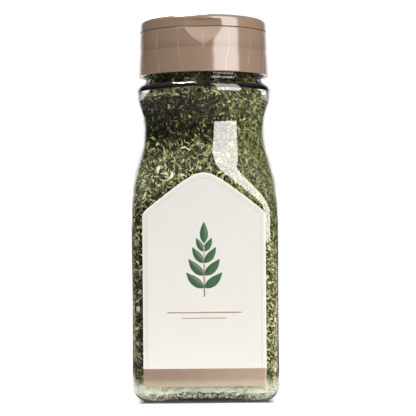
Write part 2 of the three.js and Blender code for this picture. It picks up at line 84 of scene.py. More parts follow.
# Patches of flakes painted darker as shaded and paler as lit, and of paler flakes at the bottom: the smooth steps that
# bound each, along an axis from where the step is 0 to where it is 1. Those in LIGHT_AND_TONE_PATCHES begin with what
# is added to the tone and the share that it grows by.
X, Z = 0, 2
# Painted shade over the upper left of the heap
PAINTED_SHADE_UPPER_LEFT = ((X, 14, -10), (Z, 102, 115), (Z, 126.5, 123.5))
# Painted light: flakes evened out towards a middle tone under the key light's reflection, standing in for its glare
PAINTED_EVEN_UNDER_REFLECTION = ((X, 8, 13), (Z, 62, 68), (Z, 116, 110))
# Painted light: flakes paler at the right, where the key light falls
PAINTED_LIGHT_RIGHT = ((X, 12, 24), (Z, 112, 84))
# Mostly painted light and shade: paler at the upper and lower right, darker at the lower left, at the right edge under
# the key light's reflection to dim it, and just right of the middle. The fifth scales the tone up left of the middle.
LIGHT_AND_TONE_PATCHES = (
    (0.07, 0, ((X, 2, 14), (Z, 104, 112), (Z, 129, 126))),
    (0.12, 0, ((X, 14, 24), (Z, 44, 30))),
    (-0.12, 0, ((X, -14, -24), (Z, 72, 60))),
    (-0.15, 0, ((X, 20, 24), (Z, 62, 67), (Z, 90, 80))),
    (0, 0.15, ((X, 10, 4), (Z, 112, 107), (Z, 84, 90))),
    (-0.1, 0, ((X, 2, 6), (X, 16, 11), (Z, 90, 95), (Z, 122, 110))),
)
# Where flakes turn paler at the bottom, pale powder and painted floor light in one; the lower steps make it stronger
DUST_AND_LIGHT_TOP, DUST_AND_LIGHT_LOW = ((Z, 9.8, 8),), ((Z, 6.5, 3),)

# The sprig's leaves: foot above its middle, length, and the angles in degrees at which a leaf starts and bends
LEAVES = np.array([
    *((foot, long, start * side, bend * side)
      for foot, long, start, bend in ((-9, 9.6, 62, 26), (-4, 9.2, 55, 24), (1, 8, 47, 22), (5.6, 6.4, 38, 18))
      for side in (-1, 1)),
    (9, 8.6, 0, 0),
])  # fmt: skip
SPRIG_MIDDLE = 56.0
# Half width, lower edge and upper edge of the two rules and the sprig's stem
RULES = np.array([(15, 36.6, 37.1), (9, 34.4, 34.75), (0.28, 43.2, 65.2)])
LABEL_GAP, PRINT_GAP, PRINT_THICKNESS = 0.05, 0.01, 0.00003

# Where the masks in the materials lie, each from where it is 0 to where it is 1. In metres: the bottle's frost, the
# cap's flow lines, painted paler as highlights, the crease of its groove, painted darker as shade, its satin scallop,
# painted paler as a highlight, and what the floor does round the jar
FROST = 0.0085, 0.004
LINES_DRIFT, LINES_TOP, LINES_RADIUS = (0.1465, 0.1375), (0.1534, 0.1530), (0.0262, 0.0266)
CREASE_SHADE_ABOVE, CREASE_SHADE_BELOW = (0.1492, 0.1453), (0.1450, 0.1453)
SCALLOP_SIDE, SCALLOP_TOP, SCALLOP_FACE = (0, 0.00006), (0.15360, 0.15357), (0.02577, 0.02582)
GLOW_EDGE, RING_INSIDE, RING_OUTSIDE = (0.0278, 0.0325), (0.018, 0.032), (0.058, 0.040)
BEHIND_FROM, BESIDE_FROM, BESIDE_TO, NEAR_TO = (0.05, 0.09), (0.029, 0.034), (0.10, 0.07), (0.10, 0.05)
# Across the label in metres, where the band's painted reflection pales it towards the right
BAND_PAINTED_REFLECTION = -0.020, 0.022
# In millimetres from the label's edge: both sides of its thin rule, and its pale rim
RULE_OUTSIDE, RULE_INSIDE, RIM = (1.55, 1.62), (1.83, 1.9), (0.42, 0.3)
# As a part of a whole: the noise that breaks up a flow line, the scallop's tip, and ways back and up from the jar
BROKEN, SCALLOP_TIP = (0.34, 0.62), (-0.1, 0.3)
FLOOR_BEHIND, WORLD_BEHIND, WORLD_ABOVE = (0.80, 0.96), (0.72, 0.94), (0.2, 0.7)
# Flow lines round the cap, and a line's half width in radians from its edge to its full strength
FLOW_LINES, LINE_HALF_WIDTHS = 16, (0.013, 0.006)

CAMERA_YAW, CAMERA_ROLL = -0.142, -0.48
# Name, place, aim, width, height and the setting that holds the brightness
SOFTBOXES = (
    ("key_softbox", (0.52, -0.60, 0.565), (0.11, -0.11, 0.40), 0.73, 1.08, "key"),
    ("overhead_softbox", (-0.30, -0.03, 1.05), (0, 0, 0.1), 0.42, 0.34, "over"),
    ("rim_softbox", (-0.11, 0.59, 0.83), (0, 0, 0.15), 0.22, 1.05, "rim"),
)
LAMP_COLOUR = (1, 0.98, 0.95)
FLOOR_RADII, FLOOR_COLUMNS = (100, 300, 900, 2500, 8000), 96


# ---- What a user can change


def length(name, description, default):
    """A length property in metres."""
    return FloatProperty(
        name=name, description=description, default=default, min=0, precision=5, subtype="DISTANCE", unit="LENGTH"
    )


def colour(name, description, default):
    """A linear colour property."""
    return FloatVectorProperty(
        name=name, description=description, default=default, size=3, min=0, max=1, subtype="COLOR"
    )


def number(name, description, default, most=1000):
    """A plain number property."""
    return FloatProperty(name=name, description=description, default=default, min=0, max=most)


def count(name, description, default, least=100):
    """A whole number property."""
    return IntProperty(name=name, description=description, default=default, min=least)


class BottleSettings(bpy.types.PropertyGroup):
    """Sizes and tint of the clear bottle"""

    body_half: length("Half width", "Half the width of the square body", BOTTLE_BOX[1].x)
    corner: length("Corner radius", "Radius of the upright corners", 0.007)
    edge_blend: length("Edge blend", "How softly a face meets the flare above it", 0.003)
    wall: length("Wall", "Thickness of the wall", 0.0005)
    base_round: length("Base rounding", "Radius where the sides turn under", 0.0068)
    foot: length("Foot width", "Width of the rim that the jar stands on", 0.0032)
    push_up: length("Push-up", "Rise of the middle of the base", 0.004)
    arch: length("Arch", "Rise of the base's rim between two feet", 0.0011)
    arch_fade: length("Arch fade", "Height at which the arch has died away", 0.009)
    neck_radius: length("Neck radius", "Outside radius of the neck", 0.0244)
    neck_bore: length("Neck bore", "Inside radius of the neck", 0.0231)
    neck_bottom: length("Neck bottom", "Height where the neck begins", 0.1347)
    neck_top: length("Neck top", "Height of the neck's rim", BOTTLE_BOX[1].z)
    thread_size: length("Thread", "How far the thread stands out", 0.0009)
    tint: colour("Tint", "Colour of the clear plastic", (0.985, 0.985, 0.975))
    haze: number("Haze", "Roughness of the side walls", 0.0, 1)


class FlakeSettings(bpy.types.PropertyGroup):
    """Size, number and colours of the dried flakes"""

    seed: count("Seed", "Another seed gives another heap", 11, 0)
    scraps: count("Scraps", "Bits of leaf against the wall", 8500)
    shreds: count("Shreds", "Curled strips against the wall", 13000)
    broken: count("Broken", "Short strips against the wall", 16000)
    scrap_length: length("Scrap length", "Usual length of a bit of leaf", 0.0024)
    shred_length: length("Shred length", "Usual length of a curled strip", 0.0033)
    broken_length: length("Broken length", "Usual length of a short strip", 0.0018)
    clearance: length("Clearance", "Space between the flakes and the wall", 0.00006)
    layer: length("Layer", "Depth of the loose outer layer", 0.0021)
    top: length("Fill height", "Height of the top of the heap", 0.1422)
    dark: colour("Dark", "Colour of the darkest flakes", (0.007, 0.007, 0.003))
    middle: colour("Middle", "Colour of most flakes", (0.54, 0.54, 0.235))
    light: colour("Light", "Colour of the palest flakes", (1.0, 0.99, 0.64))
    # Pale powder, which flakes near the bottom take more of lower down: partly painted light standing in for the white
    # floor
    dust: colour("Dust", "Colour of the powder at the bottom", (0.84, 0.84, 0.71))
    rosy: colour("Rosy", "Colour of the few pinkish bits", (0.48, 0.28, 0.21))


class LabelSettings(bpy.types.PropertyGroup):
    """Size and colours of the labels"""

    half_width: length("Half width", "Half the label's width along the surface", 0.02495)
    shift: length("Shift", "How far the front label sits to the left", 0.0004)
    bottom: length("Bottom", "Height of the lower edge", 0.0068)
    apex: length("Apex", "Height of the pointed top", 0.0936)
    slope: number("Slope", "Fall of the top edges", 0.82)
    softness: length("Softness", "How softly the top edges meet", 0.006)
    corner: length("Corner", "Radius of the lower corners", 0.0013)
    shoulder: length("Shoulder", "Radius where the top edges meet the sides", 0.0022)
    thickness: length("Thickness", "Thickness of the paper", 0.00016)
    band: length("Band", "Height of the band at the bottom", 0.0073)
    paper: colour("Paper", "Colour of the paper", (0.575, 0.563, 0.535))
    rim: colour("Rim", "Colour of the paper's cut edge", (0.68, 0.665, 0.63))
    ink: colour("Ink", "Colour of the leaf drawing", (0.035, 0.105, 0.045))
    foil: colour("Foil", "Colour of the band and rules", (0.475, 0.335, 0.25))
    # Its pale end at the right is a painted reflection
    pale_foil_and_reflection: colour("Pale foil", "Colour of the band's paler end and foot", (0.74, 0.60, 0.46))


class CapSettings(bpy.types.PropertyGroup):
    """Sizes and colour of the screw cap"""

    bottom: length("Bottom", "Height of the skirt's lower edge", CAP_BOX[0].z)
    top: length("Top", "Height of the closed flaps", CAP_BOX[1].z)
    radius: length("Radius", "Outside radius at the bottom", CAP_BOX[1].x)
    radius_top: length("Top radius", "Outside radius at the top", 0.02695)
    bore: length("Bore", "Inside radius of the skirt", 0.02575)
    ease: length("Top edge", "Rounding of the top edge", 0.0020)
    groove: length("Groove", "Depth of the shallow groove round the skirt", 0.00018)
    hole: length("Sifter hole", "Radius of a sifter hole", 0.0019)
    plastic: colour("Plastic", "Colour of the cap", (0.225, 0.155, 0.110))
    gloss: number("Roughness", "Roughness of the cap's surface", 0.16, 1)


class StudioSettings(bpy.types.PropertyGroup):
    """Camera and lights"""

    distance: length("Distance", "From the camera to the jar's middle", 0.570)
    eye: length("Eye height", "Height of the camera", 0.0792)
    lens: number("Lens", "Focal length on a 36 mm sensor", 115.2)
    key: number("Key", "Brightness of the tall soft light at the right", 3.4)
    over: number("Overhead", "Brightness of the overhead light", 12)
    table: number("Table", "Glow of the floor round the jar", 1.0)
    ceiling: number("Ceiling", "Brightness of the ceiling as it is mirrored", 0.16)
    rim: number("Rim", "Brightness of the light behind and above", 6)
    backdrop: number("Backdrop", "Brightness of the white backdrop", 1.15)
    room: number("Room", "Brightness of the room as it is mirrored", 0.02)
    fill: number("Fill", "Brightness of the soft light from all round", 0.42)
    show_floor: BoolProperty(name="Floor", description="Add the white floor", default=True)


# ---- Arrays into meshes


def unit(vectors):
    """Each vector over its own length."""
    return vectors / np.maximum(np.linalg.norm(vectors, axis=-1, keepdims=True), 1e-12)


def around(radius, angle, height):
    """x = r sin a, y = -r cos a, z = height, stacked as points."""
    radius, angle, height = np.broadcast_arrays(radius, angle, height)
    return np.stack([radius * np.sin(angle), -radius * np.cos(angle), height], -1)


def smoothstep(value, low, high):
    """0 at low, 1 at high and 3t^2 - 2t^3 between. Low may lie above high."""
    share = np.clip((value - low) / (high - low), 0, 1)
    return share * share * (3 - 2 * share)


def patch(place, steps):
    """The product of smooth steps, each along an axis of place from where it is 0 to where it is 1."""
    return math.prod(smoothstep(place[axis], low, high) for axis, low, high in steps)


def quarter_circle(radius, into):
    """How far a quarter circle's edge lies from its tangent, at a distance in from where it starts."""
    return radius - np.sqrt(np.maximum(radius**2 - np.clip(into, 0, radius) ** 2, 0))


def rounded_edge(size, steps):
    """Inset and drop along a rounded edge, from the side, (0, size), to the top, (size, 0)."""
    bend = np.linspace(0, QUARTER, steps)
    return size * (1 - np.cos(bend)), size * (1 - np.sin(bend))


def spans(*ends):
    """Evenly spaced numbers over each span of (from, to, step), one span after the other."""
    return np.concatenate([np.arange(*span) for span in ends])


def strip_quads(rings, columns, wrapped=False):
    """Quads between each ring of points and the next. Wrapped rings join their last column to their first."""
    ring = np.arange(rings - 1)[:, None] * columns
    column = np.arange(columns if wrapped else columns - 1)[None, :]
    beside = (column + 1) % columns
    return np.stack([ring + column, ring + beside, ring + columns + beside, ring + columns + column], -1).reshape(-1, 4)


def pole_fan(pole, first, columns):
    """Triangles from one point to a closed ring that starts at first."""
    column = np.arange(columns)
    return np.stack([np.full(columns, pole), first + (column + 1) % columns, first + column], -1)


def repeated(faces, times, corners):
    """The same faces for each of many like shapes, which have so many points each."""
    return (faces[None] + (np.arange(times) * corners)[:, None, None]).reshape(-1, faces.shape[1])


def signed_volume(points, quads, tris):
    """Sum of v0 . (v1 x v2) / 6 over the triangles: positive when faces point outwards."""
    three = np.concatenate([quads[:, [0, 1, 2]], quads[:, [0, 2, 3]], tris])
    a, b, c = points[three[:, 0]], points[three[:, 1]], points[three[:, 2]]
    return float(np.einsum("ij,ij->i", a, np.cross(b, c)).sum() / 6)


def smooth_shade(mesh, sharp):
    """Shades a mesh smooth, but for edges over an angle in degrees."""
    mesh.polygons.foreach_set("use_smooth", np.ones(len(mesh.polygons), bool))
    mesh.set_sharp_from_angle(angle=math.radians(sharp))


def make_piece(name, points, quads, tris, finish=None, body=None, slot=None, sharp=None, values=None, uv=None):
    """A mesh object from points in millimetres. A closed mesh that comes out inside out is turned round. sharp is
    the angle above which an edge stays crisp, values are numbers for each point, and uv is a place for each."""
    points = np.asarray(points, float).reshape(-1, 3)
    quads = np.asarray(quads, np.int64).reshape(-1, 4)
    tris = np.asarray(tris, np.int64).reshape(-1, 3)
    if signed_volume(points, quads, tris) < 0:
        quads, tris = quads[:, ::-1], tris[:, ::-1]
    corners = np.concatenate([quads.ravel(), tris.ravel()])
    starts = np.concatenate([np.arange(len(quads)) * 4, len(quads) * 4 + np.arange(len(tris)) * 3])
    mesh = bpy.data.meshes.new(name)
    mesh.vertices.add(len(points))
    mesh.vertices.foreach_set("co", (points * MM).ravel())
    mesh.loops.add(len(corners))
    mesh.loops.foreach_set("vertex_index", corners)
    mesh.polygons.add(len(starts))
    mesh.polygons.foreach_set("loop_start", starts)
    for key, numbers in (values or {}).items():
        mesh.attributes.new(key, "FLOAT", "POINT").data.foreach_set("value", np.asarray(numbers, np.float32))
    if uv is not None:
        mesh.uv_layers.new(name="sheet").data.foreach_set("uv", np.asarray(uv, np.float32)[corners].ravel())
    mesh.update(calc_edges=True)
    if mesh.validate():
        raise RuntimeError(f"the faces of {name} don't fit together")
    if sharp is not None:
        smooth_shade(mesh, sharp)
    piece = bpy.data.objects.new(name, mesh)
    bpy.context.scene.collection.objects.link(piece)
    if finish is not None:
        mesh.materials.append(finish)
    if body is not None:
        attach(piece, body)
    return piece


def turned_mesh(rings):
    """Points and faces of rings stacked from one pole to the other. The first and last ring are single points."""
    columns = rings[1].shape[0]
    points = np.concatenate([rings[0].reshape(-1, 3)[:1], *rings[1:-1], rings[-1].reshape(-1, 3)[:1]])
    quads = strip_quads(len(rings) - 2, columns, True) + 1
    last = 1 + (len(rings) - 3) * columns
    high = pole_fan(len(points) - 1, last, columns)[:, ::-1]
    return points, quads, np.concatenate([pole_fan(0, 1, columns), high])


def combine(target, cutters, operation):
    """Joins or cuts target with each other mesh, keeps the result as its mesh and removes the others."""
    for cutter in cutters:
        step = target.modifiers.new("combine", "BOOLEAN")
        step.operation, step.object, step.solver = operation, cutter, "MANIFOLD"
        shaped = bpy.data.meshes.new_from_object(target.evaluated_get(bpy.context.evaluated_depsgraph_get()))
        target.modifiers.clear()
        if len(shaped.polygons) == 0:
            raise RuntimeError(f"{operation} left nothing of {target.name}")
        old, target.data = target.data, shaped
        bpy.data.meshes.remove(old)
        bpy.data.objects.remove(cutter)
    return target


def turned_solid(profile, columns=96, centre=(0, 0)):
    """A helper solid: a profile of radii and heights turned round an upright axis at centre."""
    turn = np.linspace(0, math.tau, columns, endpoint=False)
    points, quads, tris = turned_mesh([around(radius, turn, height) for radius, height in profile])
    return make_piece("helper", points + [*centre, 0], quads, tris)


def block(low, high):
    """A helper box from its lowest and highest corners: each corner takes x, y and z from one or the other."""
    pick = np.array([[x, y, z] for x in (0, 1) for y in (0, 1) for z in (0, 1)])
    quads = [[0, 1, 3, 2], [4, 6, 7, 5], [0, 4, 5, 1], [2, 3, 7, 6], [0, 2, 6, 4], [1, 5, 7, 3]]
    return make_piece("helper", np.where(pick, high, low), quads, [])


def in_millimetres(form, settings, skipped):
    """Copies every length of a group of settings to a form, in millimetres."""
    for key in settings.bl_rna.properties.keys():
        if key not in ("rna_type", "name", *skipped):
            setattr(form, key, getattr(settings, key) / MM)


# ---- The bottle's form


def smooth_curve(points, steps):
    """A Catmull-Rom curve: between two knots the cubic whose end slopes are half the span of their neighbours."""
    knots = np.asarray(points, float)
    share = np.linspace(0, len(knots) - 1, steps + 1)
    start = np.minimum(share.astype(int), len(knots) - 2)
    t = (share - start)[:, None]
    before, here = knots[np.maximum(start - 1, 0)], knots[start]
    there, after = knots[start + 1], knots[np.minimum(start + 2, len(knots) - 1)]
    out, into = (there - before) / 2, (after - here) / 2
    return (2 * here - 2 * there + out + into) * t**3 + (3 * there - 3 * here - 2 * out - into) * t**2 + out * t + here


class BottleForm:
    """The bottle's walls as formulas, in millimetres, for the bottle itself and for what lies on and in it."""

    curve_steps = 136
    cone_top, cone_foot, cone_slope, wide_slope = 134.7, 131.7, 0.4, 0.95
    arch_near, arch_far = math.radians(8), math.radians(30)
    bead, bead_height, ridge_half = 0.8, 137.4, 1.0
    thread_start, thread_pitch, thread_turns, thread_fade = 141.6, 4.2, 1.25, 0.07
    heap_neck, heap_slope, heap_fall = 22.8, 0.85, 129.4

    def __init__(self, settings):
        in_millimetres(self, settings, ("tint", "haze"))
        self.profile = smooth_curve(ROUND_PROFILE, self.curve_steps)[::-1]

    def round_radius(self, height):
        """Radius of the round part, read off its profile curve."""
        radius = np.interp(height, self.profile[:, 1], self.profile[:, 0])
        return np.where(height >= self.neck_bottom, self.neck_radius, radius)

    def square_reach(self, angle, depth):
        """How far a square with rounded corners reaches: half / cos a on a face, and the far crossing of the ray
        with the corner's circle beyond it."""
        half, corner = self.body_half - depth, np.maximum(self.corner - depth, 1)
        off = np.abs(angle - np.round(angle / QUARTER) * QUARTER)
        centre = half - corner
        along = centre * (np.cos(off) + np.sin(off))
        round_part = along + np.sqrt(np.maximum(corner**2 - 2 * centre**2 + along**2, 0))
        return np.where(np.tan(off) * half <= centre, half / np.cos(off), round_part)

    def radius(self, angle, height, depth):
        """Radius at a depth inside the outside: the smaller of the round part and the square, blended by
        (blend - |difference|)^2 / 4 blend, less a quarter circle where the side turns under. The inside is no
        wider than the lining of the shoulder."""
        one, other = self.round_radius(height) - depth, self.square_reach(angle, depth)
        near = np.maximum(self.edge_blend - np.abs(one - other), 0)
        turn = self.base_round - depth
        under = quarter_circle(turn, turn - np.maximum(height - depth, 0))
        reach = np.minimum(one, other) - near**2 / (4 * self.edge_blend) - under
        return np.minimum(reach, self.lining(height) + self.wall - depth) if depth > 0 else reach

    def foot_radius(self, angle):
        """Inside radius where the side meets the base."""
        return self.radius(angle, np.float64(self.wall), self.wall)

    def lining(self, height):
        """Inside radius of the thick shoulder: a steep cone down from the neck's bore, and a wider one from its
        foot to the wall."""
        cone = self.cone_slope * np.maximum(self.cone_top - height, 0)
        return self.neck_bore + cone + self.wide_slope * np.maximum(self.cone_foot - height, 0)

    def arch_lift(self, angle, height):
        """The rim's rise between two feet: a smooth step away from each corner, fading up the side."""
        off = np.abs(np.abs(np.mod(angle, QUARTER)) - QUARTER / 2)
        return self.arch * smoothstep(off, self.arch_near, self.arch_far) * np.maximum(1 - height / self.arch_fade, 0)

    def base_height(self, share, angle, depth):
        """The base inside its foot: push_up (1 - s^2.4) at a share s of the way out, plus the rim's arch."""
        return self.push_up * (1 - share**2.4) + self.arch_lift(angle, 0) * share**2.4 + depth

    def neck_relief(self, angle, height):
        """The bead and the thread on the neck: ridges of profile 1 - d^2 / w^2. The thread climbs a pitch a turn
        and fades at both ends."""
        relief = self.bead * np.clip(1 - ((height - self.bead_height) / self.ridge_half) ** 2, 0, 1)
        for lap in (0, 1):
            along = np.mod(angle, math.tau) / math.tau + lap
            fade = smoothstep(along, 0, self.thread_fade)
            fade = fade * smoothstep(along, self.thread_turns, self.thread_turns - self.thread_fade)
            off = (height - self.thread_start - self.thread_pitch * along) / self.ridge_half
            relief = np.maximum(relief, self.thread_size * fade * np.clip(1 - off**2, 0, 1) ** 0.7)
        return relief

    def inside(self, angle, height, clearance):
        """Radius that something inside may reach."""
        reach = self.radius(angle, height, self.wall + clearance)
        return np.where(height > self.neck_bottom - 1, np.minimum(reach, self.neck_bore - clearance), reach)

    def heap(self, angle, height, clearance):
        """Radius of the heap of flakes: the inside wall, or a slope that widens under the neck by a share of its
        fall and leaves the shoulder bulge empty, whichever is less."""
        slope = self.heap_neck + self.heap_slope * np.maximum(self.heap_fall - height, 0)
        return np.minimum(self.inside(angle, height, clearance), slope)

    def outward(self, angle, height, clearance):
        """Direction out of the heap: the cross product of its surface's two tangents, taken over small steps."""
        across, upward = (
            around(self.heap(angle + a, height + h, clearance), angle + a, height + h)
            - around(self.heap(angle - a, height - h, clearance), angle - a, height - h)
            for a, h in ((1e-3, 0), (0, 0.05))
        )
        return unit(np.cross(across, upward))


def crowded_turn(columns, crowding=0.35):
    """Angles round the jar, closer together at the four corners: a = e + c/4 sin 4e."""
    even = np.linspace(0, math.tau, columns, endpoint=False)
    return even + crowding / 4 * np.sin(4 * even)


def bottle_skin(form, depth, heights, turn):
    """Rings of one wall from the middle of the base to the neck's foot, at a depth inside the outside: over the
    base, across its foot, round the bend and up the side."""
    foot = form.radius(turn, np.float64(depth), depth)
    rim = foot - form.foot - depth
    rings = [around(0, turn, form.push_up + depth)]
    for share in np.linspace(0.08, 1, 12):
        rings.append(around(rim * share, turn, form.base_height(share, turn, depth)))
    for share in (0.35, 0.7, 1):
        rings.append(around(rim + (foot - rim) * share, turn, depth + form.arch_lift(turn, 0)))
    bend = rounded_edge(form.base_round - depth, 12)[0][1:] + depth
    for height in np.concatenate([bend, heights]):
        rings.append(around(form.radius(turn, height, depth), turn, height + form.arch_lift(turn, height)))
    return rings


def bottle_rings(form):
    """The whole bottle as one path of rings: out from the middle of the base, up the outside, over the rim, down
    the inside and back to the middle."""
    turn = crowded_turn(BOTTLE_COLUMNS)
    outside = bottle_skin(form, 0, spans(*OUTSIDE_HEIGHTS), turn)
    for height in np.linspace(form.neck_bottom + 0.15, form.neck_top - 0.5, 46):
        outside.append(around(form.neck_radius + form.neck_relief(turn, height), turn, height))
    for inset, drop in zip(*rounded_edge(0.4, 4)):
        outside.append(around(form.neck_radius - inset, turn, form.neck_top - drop))
    inside = bottle_skin(form, form.wall, spans(*INSIDE_HEIGHTS), turn)
    for height in (134.7, 136, 139, 143, 147, form.neck_top - 0.3):
        inside.append(around(form.neck_bore, turn, height))
    inside.append(around(form.neck_bore + 0.3, turn, form.neck_top))
    return outside + inside[::-1]


# ---- Flakes


def flake_frames(draw, out, tilt):
    """Directions along, across and out of each flake: its long side is turned at random about the outward
    direction, and then both sides are tipped by random angles."""
    up = np.where(np.abs(out[:, 2:]) > 0.85, [[1.0, 0, 0]], [[0, 0, 1.0]])
    side = unit(np.cross(up, out))
    turn = draw.uniform(0, math.pi, (len(out), 1))
    along = side * np.cos(turn) + np.cross(out, side) * np.sin(turn)
    tip = draw.normal(0, tilt, (len(out), 1))
    face = out * np.cos(tip) + np.cross(along, out) * np.sin(tip)
    lean = draw.normal(0, tilt * 0.6, (len(out), 1))
    along, face = along * np.cos(lean) + face * np.sin(lean), face * np.cos(lean) - along * np.sin(lean)
    return along, np.cross(face, along), face


def leaf_scraps(draw, centre, frames, size):
    """Bits of leaf: a ragged rim of seven corners round an ellipse, bent along its length by c u^2, folded by
    f |v| and crumpled at each corner, with a crown above its middle and a keel below."""
    along, across, face = (direction[:, None, :] for direction in frames)
    count, corners, thickness = len(centre), 7, 0.08
    turn = math.tau * (np.arange(corners) + draw.uniform(-0.35, 0.35, (count, corners))) / corners
    reach = draw.uniform(0.45, 1.15, (count, corners)) * size[:, None] / 2
    u = (reach * np.cos(turn))[..., None]
    v = (reach * np.sin(turn) * draw.uniform(0.25, 0.75, (count, 1)))[..., None]
    bend = draw.uniform(-0.4, 0.4, (count, 1, 1))
    fold = draw.uniform(-0.9, 0.9, (count, 1, 1))
    crumple = draw.uniform(-0.12, 0.12, (count, corners, 1)) * size[:, None, None]
    middle = centre[:, None, :]
    rim = middle + along * u + across * v + face * (bend * u * u + fold * np.abs(v) + crumple)
    points = np.concatenate([rim, middle + face * thickness, middle - face * thickness], 1)
    crown, keel = pole_fan(corners, 0, corners)[:, ::-1], pole_fan(corners + 1, 0, corners)
    return points, np.concatenate([crown, keel])


def leaf_strips(draw, centre, frames, size, rings):
    """Curled strips, pointed at both ends: a flat three-sided section carried along an arc of radius R, at
    u = R sin(bt/2) and lift = R (1 - cos(bt/2)), twisting as it goes, with a ragged width."""
    along, across, face = (direction[:, None, :] for direction in frames)
    count, thickness = len(centre), 0.12
    t = np.linspace(-1, 1, rings + 2)[None, :, None] * np.array([1, *[0.85] * rings, 1])[None, :, None]
    curl = draw.uniform(0.3, 2.9, (count, 1, 1))
    radius = size[:, None, None] / curl
    swing = draw.uniform(-1.2, 1.2, (count, 1, 1))
    lift = radius * (1 - np.cos(curl * t / 2)) * draw.choice([-1, 1], (count, 1, 1))
    middle = centre[:, None, :] + along * radius * np.sin(curl * t / 2)
    middle = middle + (across * np.cos(swing) + face * np.sin(swing)) * lift
    twist = draw.uniform(-1.2, 1.2, (count, 1, 1)) * t + draw.uniform(-1.5, 1.5, (count, 1, 1))
    broad = across * np.cos(twist) + face * np.sin(twist)
    thin = face * np.cos(twist) - across * np.sin(twist)
    width = draw.uniform(0.075, 0.185, (count, 1, 1)) * size[:, None, None] ** 0.7
    width = width * draw.uniform(0.6, 1.3, (count, rings + 2, 1))
    sides = np.stack([middle - broad * width, middle + broad * width, middle + thin * thickness], 2)[:, 1:-1]
    points = np.concatenate([middle[:, :1], sides.reshape(count, -1, 3), middle[:, -1:]], 1)
    quads = strip_quads(rings, 3, True) + 1
    last = 3 * rings + 1
    faces = [quads[:, [0, 1, 2]], quads[:, [0, 2, 3]], pole_fan(0, 1, 3), pole_fan(last, last - 3, 3)[:, ::-1]]
    return points, np.concatenate(faces)


def wall_places(form, draw, count, settings, labels):
    """Random places against the inside wall, as dense on the corners as on the faces, and sparse where a label
    covers them. Each has a point, an outward direction and its depth in the loose layer. Some of those round the
    heap's free slope stand out of it."""
    clearance, layer, margin, under_label = settings.clearance / MM, settings.layer / MM, 2.5, 0.12
    tries = count * 7
    angle = draw.uniform(-math.pi, math.pi, tries)
    height = draw.uniform(0.7, settings.top / MM - 0.3, tries)
    reach = form.inside(angle, height, clearance)
    width = np.abs(form.inside(angle + 1e-3, height, clearance) - reach) * 1e3
    rise = (form.inside(angle, height + 0.05, clearance) - form.inside(angle, height - 0.05, clearance)) * 10
    spread = np.hypot(reach, width) * np.hypot(1, np.clip(rise, -3, 3))
    across = np.abs(reach * np.sin(angle))
    covered = (across < labels.half_width / MM - margin) & (np.abs(reach * np.cos(angle)) > form.body_half - 3)
    covered &= (height < label_top(labels, across) - margin) & (height > labels.bottom / MM + margin)
    kept = draw.uniform(0, 1, tries) < spread / spread.max() * np.where(covered, under_label, 1)
    angle, height = angle[kept][:count], height[kept][:count]
    depth = layer * draw.uniform(0.04, 1, len(angle)) ** 1.2
    reach, out = form.heap(angle, height, clearance), form.outward(angle, height, clearance)
    loose = smoothstep(height, 124.5, 126.5) * smoothstep(height, 132, 130)
    depth = depth - 0.8 * loose * draw.uniform(0, 1, len(angle)) ** 2
    return around(reach, angle, height) - out * depth[:, None], out, depth / layer


def end_places(form, draw, count, settings, top):
    """Random places on the heap's top, or on the inside of the base, spread evenly over the disc."""
    deepest = 1.4
    angle = draw.uniform(-math.pi, math.pi, count)
    share = np.sqrt(draw.uniform(0, 1, count))
    depth = draw.uniform(0.1, deepest, count)
    if top:
        radius, height = share * (form.neck_bore - 0.8), settings.top / MM - depth
    else:
        radius = share * (form.foot_radius(angle) - 0.6)
        height = form.base_height(share, angle, form.wall) + 0.25 + depth
    return around(radius, angle, height), np.tile([0, 0, 1.0 if top else -1.0], (count, 1)), depth / deepest


def held_in(form, points, settings):
    """Draws in every point that would stand out of the inside wall, the base or the heap's top."""
    clearance = settings.clearance / MM
    x, y, z = np.moveaxis(points, -1, 0)
    angle, radius = np.arctan2(x, -y), np.hypot(x, y)
    inner = np.clip(radius / (form.foot_radius(angle) - form.foot), 0, 1)
    height = np.clip(z, form.base_height(inner, angle, form.wall) + clearance, settings.top / MM)
    upright = height - form.arch_lift(angle, height)
    share = np.minimum(form.inside(angle, upright, clearance) / np.maximum(radius, 1e-6), 1)
    return np.stack([x * share, y * share, height], -1)


